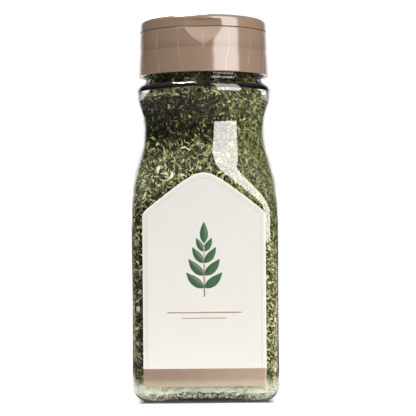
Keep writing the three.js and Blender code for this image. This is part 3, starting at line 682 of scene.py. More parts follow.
def flake_mesh(form, draw, centre, out, depth, maker, usual, settings, tilt):
    """Points, triangles and tints of many flakes of one kind. They are largest under the waist and finest at the
    bottom,
    where they are paler: pale powder and painted floor light. Deeper ones are painted darker as shaded, as are those in
    the neck under the cap and round the upper left, and those at the right are evened out under the key light's
    reflection and painted paler as lit by it. The light and tone patches then adjust them, mostly with more painted
    light and shade."""
    place = centre.T
    # Paler at the bottom: pale powder, with painted floor light that grows lower down
    low, foot = patch(place, DUST_AND_LIGHT_TOP), patch(place, DUST_AND_LIGHT_LOW)
    grade = 0.80 + 0.30 * smoothstep(place[Z], 114, 102) - 0.18 * smoothstep(place[Z], 84, 74)
    size = usual / MM * grade * np.clip(draw.lognormal(0, 0.36, len(centre)), 0.4, 2.2) * (1 - 0.5 * low)
    points, faces = maker(draw, centre, flake_frames(draw, out, tilt), size)
    count, corners = points.shape[:2]
    # Painted shade: darker round the upper left, in the neck under the cap, and deeper in the layer
    shade = np.maximum(patch(place, PAINTED_SHADE_UPPER_LEFT), 0.75 * smoothstep(place[Z], 129, 131))
    tone = draw.beta(0.75, 1.0, count) ** (1 + 5 * shade) * (1 - 0.8 * np.clip(depth, 0, 1)) * (1 - 0.2 * shade)
    # Painted light: evened out under the key light's reflection, and paler at the right where it falls
    even = 0.65 * patch(place, PAINTED_EVEN_UNDER_REFLECTION)
    tone = tone + even * (0.38 - tone) + 0.2 * (1 - even) * patch(place, PAINTED_LIGHT_RIGHT)
    for added, grown, steps in LIGHT_AND_TONE_PATCHES:
        share = patch(place, steps)
        tone = tone * (1 + grown * share) + added * share
    tints = {
        "tone": np.clip(tone, 0, 1),
        "rosy": draw.uniform(0, 1, count) < 0.006,
        "dust": low * (0.55 + 0.45 * foot) * (1 - (0.4 - 0.35 * foot) * draw.uniform(0, 1, count)),
    }
    tints = {key: np.repeat(numbers.astype(float), corners) for key, numbers in tints.items()}
    return held_in(form, points, settings).reshape(-1, 3), repeated(faces, count, corners), tints


def heap_core(form, draw, settings):
    """The heap behind the loose layer, painted dark as the shade between flakes and paler at the bottom as powder and
    painted floor light: a crumpled skin at 0.8 to 1.4 layers' depth, closed over its top and under its base."""
    turn = crowded_turn(HEAP_COLUMNS)
    top, layer = settings.top / MM - 1.2, settings.layer / MM
    rings = [around(0, turn, form.push_up + form.wall + 2.2)]
    for share in (0.3, 0.6, 0.85):
        level = form.base_height(share, turn, form.wall) + 1.2
        rings.append(around((form.foot_radius(turn) - form.foot) * share, turn, level))
    for height in np.linspace(3.4, top, HEAP_ROWS):
        level = height + draw.uniform(-0.35, 0.35, len(turn)) + form.arch_lift(turn, height)
        reach = form.heap(turn, height, 0) - layer * draw.uniform(0.8, 1.4, len(turn))
        rings.append(around(reach, turn, level))
    for share in (0.8, 0.55, 0.3):
        rings.append(around(form.neck_bore * share, turn, top + draw.uniform(-0.6, 0.4, len(turn))))
    rings.append(around(0, turn, top))
    points, quads, tris = turned_mesh(rings)
    place = points.T
    tints = {"tone": draw.uniform(0.0, 0.12, len(points)), "rosy": np.zeros(len(points))}
    tints["dust"] = patch(place, DUST_AND_LIGHT_TOP) * (0.65 + 0.3 * patch(place, DUST_AND_LIGHT_LOW))
    return points, quads, tris, tints


# ---- Labels and what is printed on them


def laid_on(form, distance, height, lift, side):
    """Points on the front (side 1) or back (side -1) face, a distance along the surface from its middle line and
    a lift off it: flat as far as the corner's start, round the corner's arc beyond, and drawn in where the face
    leans back under the flare."""
    flat, bend = form.body_half - form.corner, form.corner + lift
    beyond = np.maximum(np.abs(distance) - flat, 0) / form.corner
    across = np.sign(distance) * (np.minimum(np.abs(distance), flat) + bend * np.sin(beyond))
    out = flat + bend * np.cos(beyond)
    share = np.minimum((form.radius(np.arctan2(across, out), height, 0) + lift) / np.hypot(across, out), 1)
    return np.stack([side * across * share, -side * out * share, height], -1)


def crowded_span(columns, crowding):
    """Numbers from -1 to 1, closer together near both ends: sin(c t pi / 2) / sin(c pi / 2)."""
    return np.sin(np.linspace(-1, 1, columns) * math.pi / 2 * crowding) / math.sin(math.pi / 2 * crowding)


def label_top(label, out):
    """Height of the top edge at a distance from the middle line: apex - slope (sqrt(d^2 + s^2) - s)."""
    soft = label.softness / MM
    return label.apex / MM - label.slope * (np.sqrt(out**2 + soft**2) - soft)


def label_sheet(label, shift):
    """A grid over the label: columns by distance, closer near the edges, and rows from its lower to its upper
    edge, whose corners quarter circles ease. edge is the distance to the nearest edge."""
    half, corner, shoulder = label.half_width / MM, label.corner / MM, label.shoulder / MM
    off = half * crowded_span(85, 0.94)
    out = np.abs(off)
    low = label.bottom / MM + quarter_circle(corner, out - (half - corner))
    high = label_top(label, out) - 0.62 * quarter_circle(shoulder, out - (half - shoulder))
    share = (1 - np.cos(np.linspace(0, 1, 61) * math.pi)) / 2
    height = low + (high - low) * share[:, None]
    slant = math.cos(math.atan(label.slope))
    edge = np.minimum(np.minimum(half - out, height - low), (high - height) * slant)
    return off + shift + np.zeros_like(height), height, edge


def sprig():
    """Places across and up of a plain upright sprig: pairs of pointed leaves and one at the tip. A leaf is a
    midrib curve of length L and turn b with half width w sin(pi t^0.8)."""
    foot, long, start, bend = LEAVES.T[:, :, None]
    t = np.linspace(0, 1, 15)
    heading = np.radians(start - bend * t)
    run, rise = (
        np.cumsum(np.pad(way[:, :-1] * long / (len(t) - 1), ((0, 0), (1, 0))), 1)
        for way in (np.sin(heading), np.cos(heading))
    )
    width = long * 0.19 * np.sin(math.pi * t**0.8) ** 0.9 + 0.02
    sides = np.array([-1, 0, 1]) * width[..., None]
    x = run[..., None] + sides * np.cos(heading)[..., None]
    return x, SPRIG_MIDDLE + (foot + rise)[..., None] - sides * np.sin(heading)[..., None]


def rules():
    """Places across and up of plain rules under the sprig, a long one and a shorter one, and of the sprig's stem."""
    return np.broadcast_arrays(RULES[:, :1, None] * np.linspace(-1, 1, 17), RULES[:, 1:, None])


# ---- Cap


class CapForm:
    """The cap's walls as formulas, in millimetres."""

    plate_under, plate_top = 152.1, 153.6
    seal_radius, seal_wall, seal_depth = 22.6, 1.1, 2.5
    bar_half, bar_wall, bar_channel = 4.4, 1.3, 21.1
    flap_half, flap_bottom, flap_wall, flap_thick = 4.7, 153.76, 1.35, 1.4
    thumb_depth, thumb_top, thumb_pad, no_recess = 1.13, 156.6, 1.4, 99.0
    scallop_bottom, scallop_swell, scallop_tip = 146.0, 0.8, 0.125
    sifter_ring, sifter_centre, sifter_count = 6.2, 14.0, 7
    spoon_radius, spoon_edge, spoon_corner, spoon_middle = 20.0, 7.5, 2.0, (0.0, 13.0)
    groove_top, groove_crease, groove_foot = 149.4, 145.2, 141.4
    cutter_low, cutter_high, cutter_bevel = 150, 155, 0.25
    beyond = 30

    def __init__(self, settings):
        in_millimetres(self, settings, ("plastic", "gloss"))

    def lean(self, height):
        """Radius of the side without its groove, leaning in evenly from bottom to top."""
        return np.interp(height, [self.bottom, self.top], [self.radius, self.radius_top])

    def side(self, height):
        """Radius of the side: its lean less a shallow groove g t^2, where t rises from both sides to 1, so that
        the two sides meet in a faint crease."""
        above = (self.groove_top - height) / (self.groove_top - self.groove_crease)
        below = (height - self.groove_foot) / (self.groove_crease - self.groove_foot)
        return self.lean(height) - self.groove * np.clip(np.minimum(above, below), 0, 1) ** 2

    def recess(self, height):
        """Distance of the thumb recess's face from the axis: upright above the seam, and coming out to the side
        below it as the recess narrows, sqrt(r^2 - w^2)."""
        flat, _ = self.recess_top()
        scallop = np.sqrt(self.side(height) ** 2 - self.scallop(height) ** 2)
        cut = (height > self.scallop_bottom) & (height < self.thumb_top)
        return np.where(cut, np.where(height >= self.plate_top, flat, scallop), self.no_recess)

    def recess_top(self):
        """Distance of the recess's upright face from the axis, and its half width."""
        flat = float(self.side(self.flap_bottom)) - self.thumb_depth
        return flat, math.sqrt(float(self.side(self.plate_top)) ** 2 - flat**2)

    def scallop(self, height):
        """Half width of the scallop below the seam: W sqrt((s^2 + p t) / (1 + p)) where t rises from 0 at its foot
        to 1 and s = q sin(pi t / 2) + (1 - q) t, so that its tip is round."""
        t = np.clip((height - self.scallop_bottom) / (self.plate_top - self.scallop_bottom), 0, 1)
        swell = self.scallop_swell * np.sin(math.pi / 2 * t) + (1 - self.scallop_swell) * t
        return self.recess_top()[1] * np.sqrt((swell**2 + self.scallop_tip * t) / (1 + self.scallop_tip))

    def outside(self, angle, height):
        """The side, cut by the recess's flat face at the front and the back: min(r, d / |cos a|)."""
        return np.minimum(self.side(height), self.recess(height) / np.maximum(np.abs(np.cos(angle)), 1e-3))

    def hole_profile(self, size, flared):
        """Sizes and heights up a cutter through the plate, flared where it leaves the top."""
        middle = [(size, self.cutter_low), (size, self.plate_top - self.cutter_bevel)]
        upper = [(flared, self.plate_top + 0.01), (flared, self.cutter_high)]
        return [(0, self.cutter_low), *middle, *upper, (0, self.cutter_high)]


def skirt_rings(cap):
    """The skirt, the plate and its sealing ring as one path of rings: out over the plate, down the side, up the
    bore and in under the plate."""
    turn = np.linspace(0, math.tau, CAP_COLUMNS, endpoint=False)
    top, bottom, under = cap.plate_top - 1e-3, cap.bottom, cap.plate_under
    seal, seal_inside, seal_tip = cap.seal_radius, cap.seal_radius - cap.seal_wall, under - cap.seal_depth
    # Inset from the side and height: the edge under the seam, the side, and the skirt's lower edge
    side = [(0.9, top), (0.45, top), (0.24, top - 0.05), (0.1, top - 0.16), (0.02, top - 0.32), (0, top - 0.5)]
    side += [(0, height) for height in np.linspace(top - 0.7, bottom + 0.5, 56)]
    side += [(inset, bottom + rise) for inset, rise in zip(*rounded_edge(0.35, 4))]
    # Radius and height: up the bore, and in over the sealing ring to the middle
    inner = [(cap.bore + 0.5, bottom), (cap.bore + 0.25, bottom + 0.3), (cap.bore, bottom + 1.2)]
    inner += [(cap.bore, height) for height in (140, 145, under - 2)]
    inner += [(cap.bore - 1, under), (seal, under), (seal - 0.3, seal_tip), (seal_inside, seal_tip)]
    inner += [(seal_inside, under), (12, under), (0, under)]
    rings = [around(radius, turn, cap.plate_top) for radius in (0, 8, 16, 23)]
    rings += [around(cap.outside(turn, height) - inset, turn, height) for inset, height in side]
    return rings + [around(radius, turn, height) for radius, height in inner]


def eased_top(cap):
    """Radius and height over the rounded top edge, from the side to the top."""
    inset, drop = rounded_edge(cap.ease, 12)
    return cap.radius_top - inset, cap.top - drop


def hinge_bar(cap):
    """The bar across the top: the cap's round between two flat sides, with its long top edges eased."""
    low = [(0, cap.plate_top - 0.7), (cap.radius_top - 1, cap.plate_top - 0.7)]
    low.append((float(cap.side(cap.plate_top)) - 0.02, cap.plate_top - 0.05))
    drum = turned_solid([*low, *zip(*eased_top(cap)), (0, cap.top)], CAP_COLUMNS)
    ends = [-cap.beyond, -cap.bar_half, cap.plate_top - 3], [cap.beyond, cap.bar_half, cap.top + 3]
    return combine(drum, [block(*ends)], "INTERSECT")


def bar_hollow(cap):
    """What the bar's underside is hollowed by."""
    half, under, top = cap.bar_half - cap.bar_wall, cap.plate_under - 0.6, cap.top - cap.bar_wall
    channel = turned_solid([(0, under), (cap.bar_channel, under), (cap.bar_channel, top), (0, top)], 160)
    return combine(channel, [block([-cap.beyond, -half, under - 1], [cap.beyond, half, cap.top])], "INTERSECT")


def sifter_cutters(cap):
    """Upright rods for the sifter holes: one in the middle of a ring of six."""
    turn = np.arange(cap.sifter_count - 1) / (cap.sifter_count - 1) * math.tau
    x, y = (np.append(cap.sifter_ring * way(turn), 0) for way in (np.cos, np.sin))
    profile = cap.hole_profile(cap.hole, cap.hole + 0.25)
    return [turned_solid(profile, 48, centre) for centre in zip(x, y - cap.sifter_centre)]


def spoon_cutter(cap):
    """The half-moon opening's outline, an arc over a chord with eased corners, raised through the plate."""
    corner, level = cap.spoon_corner, cap.spoon_edge + cap.spoon_corner
    reach = math.sqrt((cap.spoon_radius - corner) ** 2 - level**2)
    turn = math.atan2(level, reach)
    arcs = (
        ((0, 0), cap.spoon_radius, np.linspace(turn, math.pi - turn, 80)),
        ((-reach, level), corner, np.linspace(math.pi - turn, math.pi * 1.5, 12)[1:]),
        ((reach, level), corner, np.linspace(-math.pi / 2, turn, 12)[:-1]),
    )
    outline = np.concatenate([middle + size * np.stack([np.cos(a), np.sin(a)], -1) for middle, size, a in arcs])
    rings = []
    for share, height in cap.hole_profile(1, 1.02):
        flat = cap.spoon_middle + (outline - cap.spoon_middle) * share
        rings.append(np.column_stack([flat, np.full(len(flat), height)]))
    return make_piece("helper", *turned_mesh(rings))


def flap_mesh(cap, side):
    """One flap. Its outside runs from the hinge line over the top and down the side, and its inside back up and
    under. Each ring of both is an arc of its own radius from chord to chord, a = u acos(chord / r), and strips
    between the two close the chord's face. side is 1 for the front and -1 for the back."""
    share, chord, foot = crowded_span(FLAP_COLUMNS, 0.97), cap.flap_half, cap.flap_bottom
    radii, heights = eased_top(cap)
    down = np.array([156.66, 156.59, 156.45, 156.1, 155.5, 154.9, 154.4, foot + 0.15, foot + 0.05, foot])
    down = down[down < cap.top - cap.ease - 0.03]
    out_r = np.concatenate([np.linspace(chord, cap.radius_top - cap.ease, 14)[:-1], radii[::-1], cap.side(down)])
    out_z = np.concatenate([np.full(13, cap.top), heights[::-1], down])
    under, inner = cap.top - cap.flap_thick, float(cap.lean(foot)) - cap.flap_wall
    count, columns = len(out_r), len(share)
    rise = count // 3
    in_z = np.concatenate([np.full(count - rise, under), np.linspace(under, foot, rise + 1)[1:]])
    in_r = [np.linspace(chord, inner - 0.15, count - rise), np.linspace(inner - 0.15, inner, rise + 1)[1:]]
    inset = np.zeros(count)
    inset[-2:] = 0.02, 0.07

    def sheet(radius, height, face, inset):
        """The rings of one side, cut by the recess's face, moved in by an inset and flat at the chord."""
        angle = share * np.arccos(np.clip(chord / np.maximum(radius, chord + 1e-9), 0, 1))[:, None]
        reach = np.minimum(radius[:, None], face[:, None] / np.maximum(np.cos(angle), 1e-3)) - inset[:, None]
        points = around(reach, angle, height[:, None])
        points[..., 1] = np.minimum(points[..., 1], -chord)
        return (points * [side, side, 1]).reshape(-1, 3)

    pad = np.full(count, cap.recess(np.float64(foot)) - cap.thumb_pad)
    outer = sheet(out_r, out_z, cap.recess(out_z), inset)
    lining = sheet(np.concatenate(in_r), in_z, pad, np.zeros(count))
    shell, start = strip_quads(count, columns), count * columns
    last, row = (count - 1) * columns + np.arange(columns - 1), np.arange(count - 1) * columns
    lip = np.stack([last, last + 1, start + last + 1, start + last], -1)
    left = np.stack([row, row + columns, start + row + columns, start + row], -1)
    quads = [shell, shell[:, ::-1] + start, lip, left, left[:, ::-1] + columns - 1]
    return np.concatenate([outer, lining]), np.concatenate(quads)


def web_tubes(cap):
    """Three short round webs along each hinge line, in the gap between a flap and the bar."""
    turn, thick, steps = np.linspace(0, math.tau, 16, endpoint=False), 0.13, 5
    parts = []
    for line in (-1, 1):
        y = line * (cap.bar_half + cap.flap_half) / 2 + thick * np.cos(turn)
        z = cap.top - 0.2 + thick * np.sin(turn)
        for low, high in ((-20.5, -11.5), (-4.5, 4.5), (11.5, 20.5)):
            rings = [np.stack([np.full(len(turn), x), y, z], -1) for x in np.linspace(low, high, steps)]
            ends = [np.array([[x, y.mean(), z.mean()]]) for x in (low, high)]
            parts.append(turned_mesh([ends[0], *rings, ends[1]]))
    points, quads, tris = (np.stack(kind) for kind in zip(*parts))
    start = (np.arange(len(parts)) * points.shape[1])[:, None, None]
    return points, quads + start, tris + start


# ---- Materials


class Wiring:
    """A shader tree, with short ways to add nodes to it. A value may be a number, a colour or a node's output."""

    def __init__(self, tree):
        self.tree = tree

    def feed(self, socket, value):
        """Links an output to a socket, or sets the socket."""
        if isinstance(value, bpy.types.NodeSocket):
            self.tree.links.new(value, socket)
        else:
            socket.default_value = (*value, 1)[:4] if socket.type == "RGBA" else value

    def add(self, kind, inputs=None, **settings):
        """Adds a node, sets its properties, and feeds its inputs by name or number."""
        node = self.tree.nodes.new("ShaderNode" + kind)
        for key, value in settings.items():
            setattr(node, key, value)
        for key, value in (inputs or {}).items():
            self.feed(node.inputs[key], value)
        return node

    def maths(self, operation, *values):
        """A Math node's result."""
        return self.add("Math", dict(enumerate(values)), operation=operation).outputs[0]

    def product(self, first, *others):
        """Numbers multiplied together."""
        for other in others:
            first = self.maths("MULTIPLY", first, other)
        return first

    def most(self, first, *others):
        """The largest of some numbers."""
        for other in others:
            first = self.maths("MAXIMUM", first, other)
        return first

    def between(self, value, low, high, to_low=0, to_high=1, kind="SMOOTHSTEP"):
        """A Map Range node's result, held at both ends."""
        inputs = {"Value": value, "From Min": low, "From Max": high, "To Min": to_low, "To Max": to_high}
        return self.add("MapRange", inputs, interpolation_type=kind).outputs["Result"]

    def evenly(self, value, low, high, to_low=0, to_high=1):
        """The same on a straight line."""
        return self.between(value, low, high, to_low, to_high, "LINEAR")

    def blend(self, share, one, other):
        """One colour, mixed by a share with another."""
        return self.add("Mix", {0: share, 6: one, 7: other}, data_type="RGBA").outputs[2]

    def place(self):
        """The point's own place on the object."""
        return self.add("TexCoord").outputs["Object"]

    def axes(self, vector=None):
        """The x, y and z of a vector, or of the point's place."""
        return self.add("SeparateXYZ", {0: self.place() if vector is None else vector}).outputs

    def noise(self, scale, detail=2):
        """Soft noise over the object."""
        return self.add("TexNoise", {"Vector": self.place(), "Scale": scale, "Detail": detail}).outputs["Fac"]

    def attribute(self, name):
        """A number held at each of the mesh's points."""
        return self.add("Attribute", attribute_name=name).outputs["Fac"]

    def ray(self, kind):
        """1 where the surface is met by one kind of ray."""
        return self.add("LightPath").outputs[f"Is {kind} Ray"]

    def drift(self, tint, scale, amount):
        """A colour with the colour drift on it."""
        inputs = {"Color": tint, "Scale": scale, "Amount": amount}
        return self.add("Group", inputs, node_tree=drift_group()).outputs["Color"]

    def waver(self, wave_scale, waves, grain_scale, grain):
        """The surface waver's height."""
        inputs = {"Wave Scale": wave_scale, "Waves": waves, "Grain Scale": grain_scale, "Grain": grain}
        return self.add("Group", inputs, node_tree=waver_group()).outputs["Height"]


class Finish(Wiring):
    """A new material and its Principled shader."""

    def __init__(self, name):
        self.material = bpy.data.materials.new(name)
        self.material.use_nodes = True
        super().__init__(self.material.node_tree)
        self.shader = self.tree.nodes["Principled BSDF"]

    def bump(self, height, distance):
        """Raises the surface by a height."""
        node = self.add("Bump", {"Height": height, "Distance": distance})
        self.feed(self.shader.inputs["Normal"], node.outputs["Normal"])

    def let_through(self, share, tint=(1, 1, 1)):
        """Mixes the shader with a transparent one."""
        clear = self.add("BsdfTransparent", {"Color": tint})
        both = self.add("MixShader", {0: share, 1: self.shader.outputs[0], 2: clear.outputs[0]})
        self.feed(self.tree.nodes["Material Output"].inputs["Surface"], both.outputs[0])

    def made_of(self, inputs):
        """Feeds the shader's inputs by name and gives the material."""
        for key, value in inputs.items():
            self.feed(self.shader.inputs[key], value)
        return self.material


def node_group(name, kind, gives, defaults, build):
    """A shader node group made once. defaults holds its inputs, a colour where it is a tuple and else a number,
    kind and gives are the socket type and name of its output, and build(wiring, inputs) wires that."""
    tree = bpy.data.node_groups.get(name)
    if tree:
        return tree
    tree = bpy.data.node_groups.new(name, "ShaderNodeTree")
    for label, default in defaults.items():
        of = "NodeSocketColor" if isinstance(default, tuple) else "NodeSocketFloat"
        tree.interface.new_socket(label, in_out="INPUT", socket_type=of).default_value = default
    tree.interface.new_socket(gives, in_out="OUTPUT", socket_type=kind)
    result = build(Wiring(tree), tree.nodes.new("NodeGroupInput").outputs)
    tree.links.new(result, tree.nodes.new("NodeGroupOutput").inputs[gives])
    return tree


def drift_group():
    """Colour drift: brightens and darkens a colour by soft noise of two scales."""

    def build(wiring, given):
        both = wiring.maths("ADD", wiring.noise(given["Scale"]), wiring.noise(wiring.product(given["Scale"], 7.3)))
        swing = wiring.product(wiring.maths("SUBTRACT", both, 1), given["Amount"])
        inputs = {0: given["Color"], "Scale": wiring.maths("ADD", swing, 1)}
        return wiring.add("VectorMath", inputs, operation="SCALE").outputs[0]

    defaults = {"Color": (0.5, 0.5, 0.5, 1), "Scale": 60, "Amount": 0.2}
    return node_group("colour_drift", "NodeSocketColor", "Color", defaults, build)


def waver_group():
    """Surface waver: a bump height from broad moulding waves and a fine grain."""

    def build(wiring, given):
        broad = wiring.product(wiring.noise(given["Wave Scale"], 1), given["Waves"])
        return wiring.maths("ADD", broad, wiring.product(wiring.noise(given["Grain Scale"], 3), given["Grain"]))

    defaults = {"Wave Scale": 40, "Waves": 1, "Grain Scale": 2500, "Grain": 0.1}
    return node_group("surface_waver", "NodeSocketFloat", "Height", defaults, build)


def shaded(tint, share):
    """A colour times a number, held at 1."""
    return tuple(min(1, part * share) for part in tint)


def clear_plastic(settings):
    """Clear blown plastic: glass-like, with slow waves in its wall, frosted where the side turns under, and open
    to light from lamps."""
    finish = Finish("clear_blown_plastic")
    frost = finish.between(finish.axes()["Z"], *FROST)
    finish.bump(finish.waver(55, 1, 900, 0.02), 0.00008)
    finish.let_through(finish.most(finish.ray("Shadow"), finish.ray("Diffuse")), (0.93, 0.94, 0.92))
    return finish.made_of({
        "Base Color": settings.tint, "IOR": 1.6, "Transmission Weight": 1,
        "Roughness": finish.maths("MULTIPLY_ADD", frost, 0.025, settings.haze),
        "Coat Weight": 0.5, "Coat IOR": 1.6, "Coat Roughness": 0.015,
    })  # fmt: skip


def dried_leaf(settings):
    """Dried leaf: each flake's tone, with its painted light and shade, picks its green, those at the bottom are paler
    with powder and painted floor light, a few are rosy, and fine noise mottles them all."""
    finish = Finish("dried_parsley")
    tone = finish.attribute("tone")
    lower = finish.blend(finish.evenly(tone, 0, 0.5), settings.dark, settings.middle)
    green = finish.blend(finish.evenly(tone, 0.5, 1), lower, settings.light)
    dusted_and_lit = finish.blend(finish.attribute("dust"), green, settings.dust)
    tint = finish.drift(finish.blend(finish.attribute("rosy"), dusted_and_lit, settings.rosy), 420, 0.55)
    finish.bump(finish.waver(1500, 1, 5200, 0.5), 0.0002)
    return finish.made_of({"Base Color": tint, "Roughness": 0.8, "Specular IOR Level": 0.08})


def label_paper(settings):
    """Coated paper: cream, with painted shade that darkens it a little towards its top, with a pale rim and a thin rule
    inside it. The foil band at its foot pales downwards, and towards the right with a painted reflection."""
    finish = Finish("label_paper")
    across, height, _ = finish.axes(finish.add("UVMap", uv_map="sheet").outputs[0])
    edge, bottom, top = finish.attribute("edge"), settings.bottom, settings.bottom + settings.band
    # Painted shade: the paper a little darker towards the top
    upper = finish.evenly(height, bottom, settings.apex)
    cream = finish.drift(finish.blend(upper, settings.paper, shaded(settings.paper, 0.88)), 90, 0.03)
    rule = finish.maths("SUBTRACT", finish.between(edge, *RULE_OUTSIDE), finish.between(edge, *RULE_INSIDE))
    base = finish.blend(finish.product(rule, 0.55), cream, settings.foil)
    band = finish.between(height, top + 0.00008, top - 0.00008)
    foot = finish.between(height, bottom + 0.0036, bottom + 0.0006, 0.02, 0.8)
    # Painted reflection: the band pales towards the right
    pale = finish.maths("MULTIPLY_ADD", finish.between(across, *BAND_PAINTED_REFLECTION), 0.42, foot)
    metal = finish.drift(finish.blend(pale, settings.foil, settings.pale_foil_and_reflection), 160, 0.12)
    base = finish.blend(band, base, metal)
    rim = finish.product(finish.between(edge, *RIM), finish.maths("SUBTRACT", 1, band))
    finish.bump(finish.waver(70, 0.6, 3200, 0.12), 0.00006)
    return finish.made_of({
        "Base Color": finish.blend(rim, base, settings.rim),
        "Metallic": finish.product(band, 0.65),
        "Roughness": finish.evenly(band, 0, 1, 0.5, 0.42),
        "Specular IOR Level": 0.35,
    })  # fmt: skip


def printed_ink(name, tint, metallic):
    """Ink or foil printed on the label, with the paper's grain under it."""
    finish = Finish(name)
    finish.bump(finish.waver(70, 0.6, 3200, 0.2), 0.00005)
    return finish.made_of({"Base Color": finish.drift(tint, 300, 0.15), "Metallic": metallic, "Roughness": 0.4})


def flow_lines_and_highlights(finish, x, y, z):
    """Where the side's faint upright flow lines lie, which cap_plastic paints paler as highlights: sixteen, evenly
    spaced, that drift sideways near their lower ends, and that fine noise breaks up."""
    step, turn = math.tau / FLOW_LINES, finish.maths("ARCTAN2", x, finish.product(y, -1))
    sway = finish.product(finish.between(z, *LINES_DRIFT), 0.055, finish.maths("SIGN", x))
    turn = finish.maths("ADD", finish.maths("ADD", turn, math.tau), sway)
    off = finish.maths("ABSOLUTE", finish.maths("SUBTRACT", finish.maths("MODULO", turn, step), step / 2))
    radius = finish.maths("SQRT", finish.maths("ADD", finish.product(x, x), finish.product(y, y)))
    on_side = finish.product(finish.between(radius, *LINES_RADIUS), finish.between(z, *LINES_TOP))
    broken = finish.between(finish.noise(170), *BROKEN, 0.15, 1)
    return finish.product(finish.between(off, *(step / 2 - half for half in LINE_HALF_WIDTHS)), on_side, broken)


def scallop_satin_and_highlight(finish, cap, x, y, z):
    """Where the satin scallop under the thumb recess lies, which cap_plastic paints paler as a highlight: inside the
    half width that CapForm.scallop gives.
    """
    rise = finish.evenly(z, cap.scallop_bottom * MM, cap.plate_top * MM)
    swell = finish.product(finish.maths("SINE", finish.product(rise, math.pi / 2)), cap.scallop_swell)
    swell = finish.maths("POWER", finish.maths("MULTIPLY_ADD", rise, 1 - cap.scallop_swell, swell), 2)
    area = finish.maths("MULTIPLY_ADD", rise, cap.scallop_tip, swell)
    half = finish.product(
        finish.maths("SQRT", finish.maths("DIVIDE", area, 1 + cap.scallop_tip)), cap.recess_top()[1] * MM
    )
    within = finish.maths("SUBTRACT", half, finish.maths("ABSOLUTE", x))
    return finish.product(
        finish.between(within, *SCALLOP_SIDE), finish.between(z, *SCALLOP_TOP),
        finish.between(finish.maths("ABSOLUTE", y), *SCALLOP_FACE), finish.between(rise, *SCALLOP_TIP),
    )  # fmt: skip


def cap_plastic(settings, cap):
    """Glossy moulded plastic: faint flow lines, painted paler as highlights, a satin scallop painted paler as a
    highlight, painted shade over the groove's crease, a slight change of tone, and moulding waves."""
    finish = Finish("cap_rose_brown")
    x, y, z = finish.axes()
    line, satin_and_highlight = flow_lines_and_highlights(finish, x, y, z), scallop_satin_and_highlight(finish, cap, x, y, z)
    crease = finish.product(finish.between(z, *CREASE_SHADE_ABOVE), finish.between(z, *CREASE_SHADE_BELOW))
    pale = tuple(min(1, part * 1.75 + 0.05) for part in settings.plastic)
    base = finish.drift(settings.plastic, 70, 0.10)
    # Painted highlight: the satin scallop painted paler
    base = finish.blend(finish.product(satin_and_highlight, 0.36), base, pale)
    # Painted highlight: the flow lines painted paler
    base = finish.blend(finish.product(line, 0.38), base, shaded(pale, 1.15))
    # Painted shade: darker over the groove's crease
    base = finish.blend(finish.product(crease, 0.24), base, shaded(settings.plastic, 0.45))
    finish.bump(finish.maths("ADD", finish.waver(48, 1, 2600, 0.03), finish.product(line, 0.12)), 0.00012)
    gloss = finish.evenly(line, 0, 1, settings.gloss, settings.gloss + 0.12)
    return finish.made_of({
        "Base Color": base, "Roughness": finish.maths("MULTIPLY_ADD", satin_and_highlight, 0.3, gloss),
        "IOR": 1.52, "Specular IOR Level": 0.8, "Coat Weight": 0.85, "Coat Roughness": 0.12,
    })  # fmt: skip


def floor_white(settings):
    """White that is brightest for light that bounces, and mirrored darkly but for the far floor and the strips
    beside the jar. Round the jar a ring of it lights the jar's foot, and to the camera it glows, but for the
    jar's contact shadow. It can be looked through from below."""
    finish = Finish("white_sweep")
    seen, mirrored, bounced = (finish.ray(kind) for kind in ("Camera", "Glossy", "Diffuse"))
    _, back, _ = finish.axes()
    x, y, _ = finish.axes(finish.add("VectorMath", {0: finish.place()}, operation="ABSOLUTE").outputs[0])
    far = finish.add("VectorMath", {0: finish.place()}, operation="LENGTH").outputs["Value"]
    off = finish.most(finish.product(x, 1.12), y)
    glow = finish.product(finish.between(off, *GLOW_EDGE), seen)
    ring = finish.product(finish.between(off, *RING_INSIDE), finish.between(off, *RING_OUTSIDE, 0, settings.table))
    strength = finish.maths("ADD", glow, finish.product(ring, bounced))
    behind = finish.between(finish.maths("DIVIDE", back, far), *FLOOR_BEHIND)
    behind = finish.product(behind, finish.between(far, *BEHIND_FROM, 0, 0.93))
    beside = finish.product(finish.between(x, *BESIDE_FROM), finish.between(far, *BESIDE_TO, 0, 0.6))
    mirror = finish.most(finish.between(far, *NEAR_TO, 0.06, 0.14), behind, beside)
    level = finish.most(
        finish.product(mirror, mirrored), finish.product(seen, 0.12), finish.product(bounced, 0.9)
    )
    finish.let_through(finish.add("NewGeometry").outputs["Backfacing"])
    return finish.made_of({
        "Base Color": level, "Roughness": 0.9, "Specular IOR Level": 0,
        "Emission Color": (1, 1, 1), "Emission Strength": strength,
    })  # fmt: skip


def surround(settings):
    """A world that is white straight behind the jar, pale overhead and dim elsewhere, even for light that
    bounces, and plain white where it is looked at."""
    world = bpy.data.worlds.new("studio_surround")
    world.use_nodes = True
    wiring = Wiring(world.node_tree)
    _, depth, height = wiring.axes(wiring.add("TexCoord").outputs["Generated"])
    behind = wiring.between(depth, *WORLD_BEHIND)
    level = wiring.most(
        wiring.maths("MULTIPLY_ADD", behind, settings.backdrop - settings.room, settings.room),
        wiring.between(height, *WORLD_ABOVE, 0, settings.ceiling),
        wiring.product(wiring.ray("Diffuse"), settings.fill),
        wiring.product(wiring.ray("Camera"), 1.1),
    )
    wiring.feed(wiring.tree.nodes["Background"].inputs["Color"], level)
    return world


# ---- Operators


class JAR_OT_bottle(bpy.types.Operator):
    """Make the clear bottle"""

    bl_idname = "spice_jar.bottle"
    bl_label = "Bottle"

    def execute(self, context):
        settings = context.scene.jar_bottle
        shape = turned_mesh(bottle_rings(BottleForm(settings)))
        bottle = make_piece("jar_bottle", *shape, clear_plastic(settings), "jar", "clear_plastic", sharp=50)
        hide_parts("bottle")
        return {"FINISHED"}


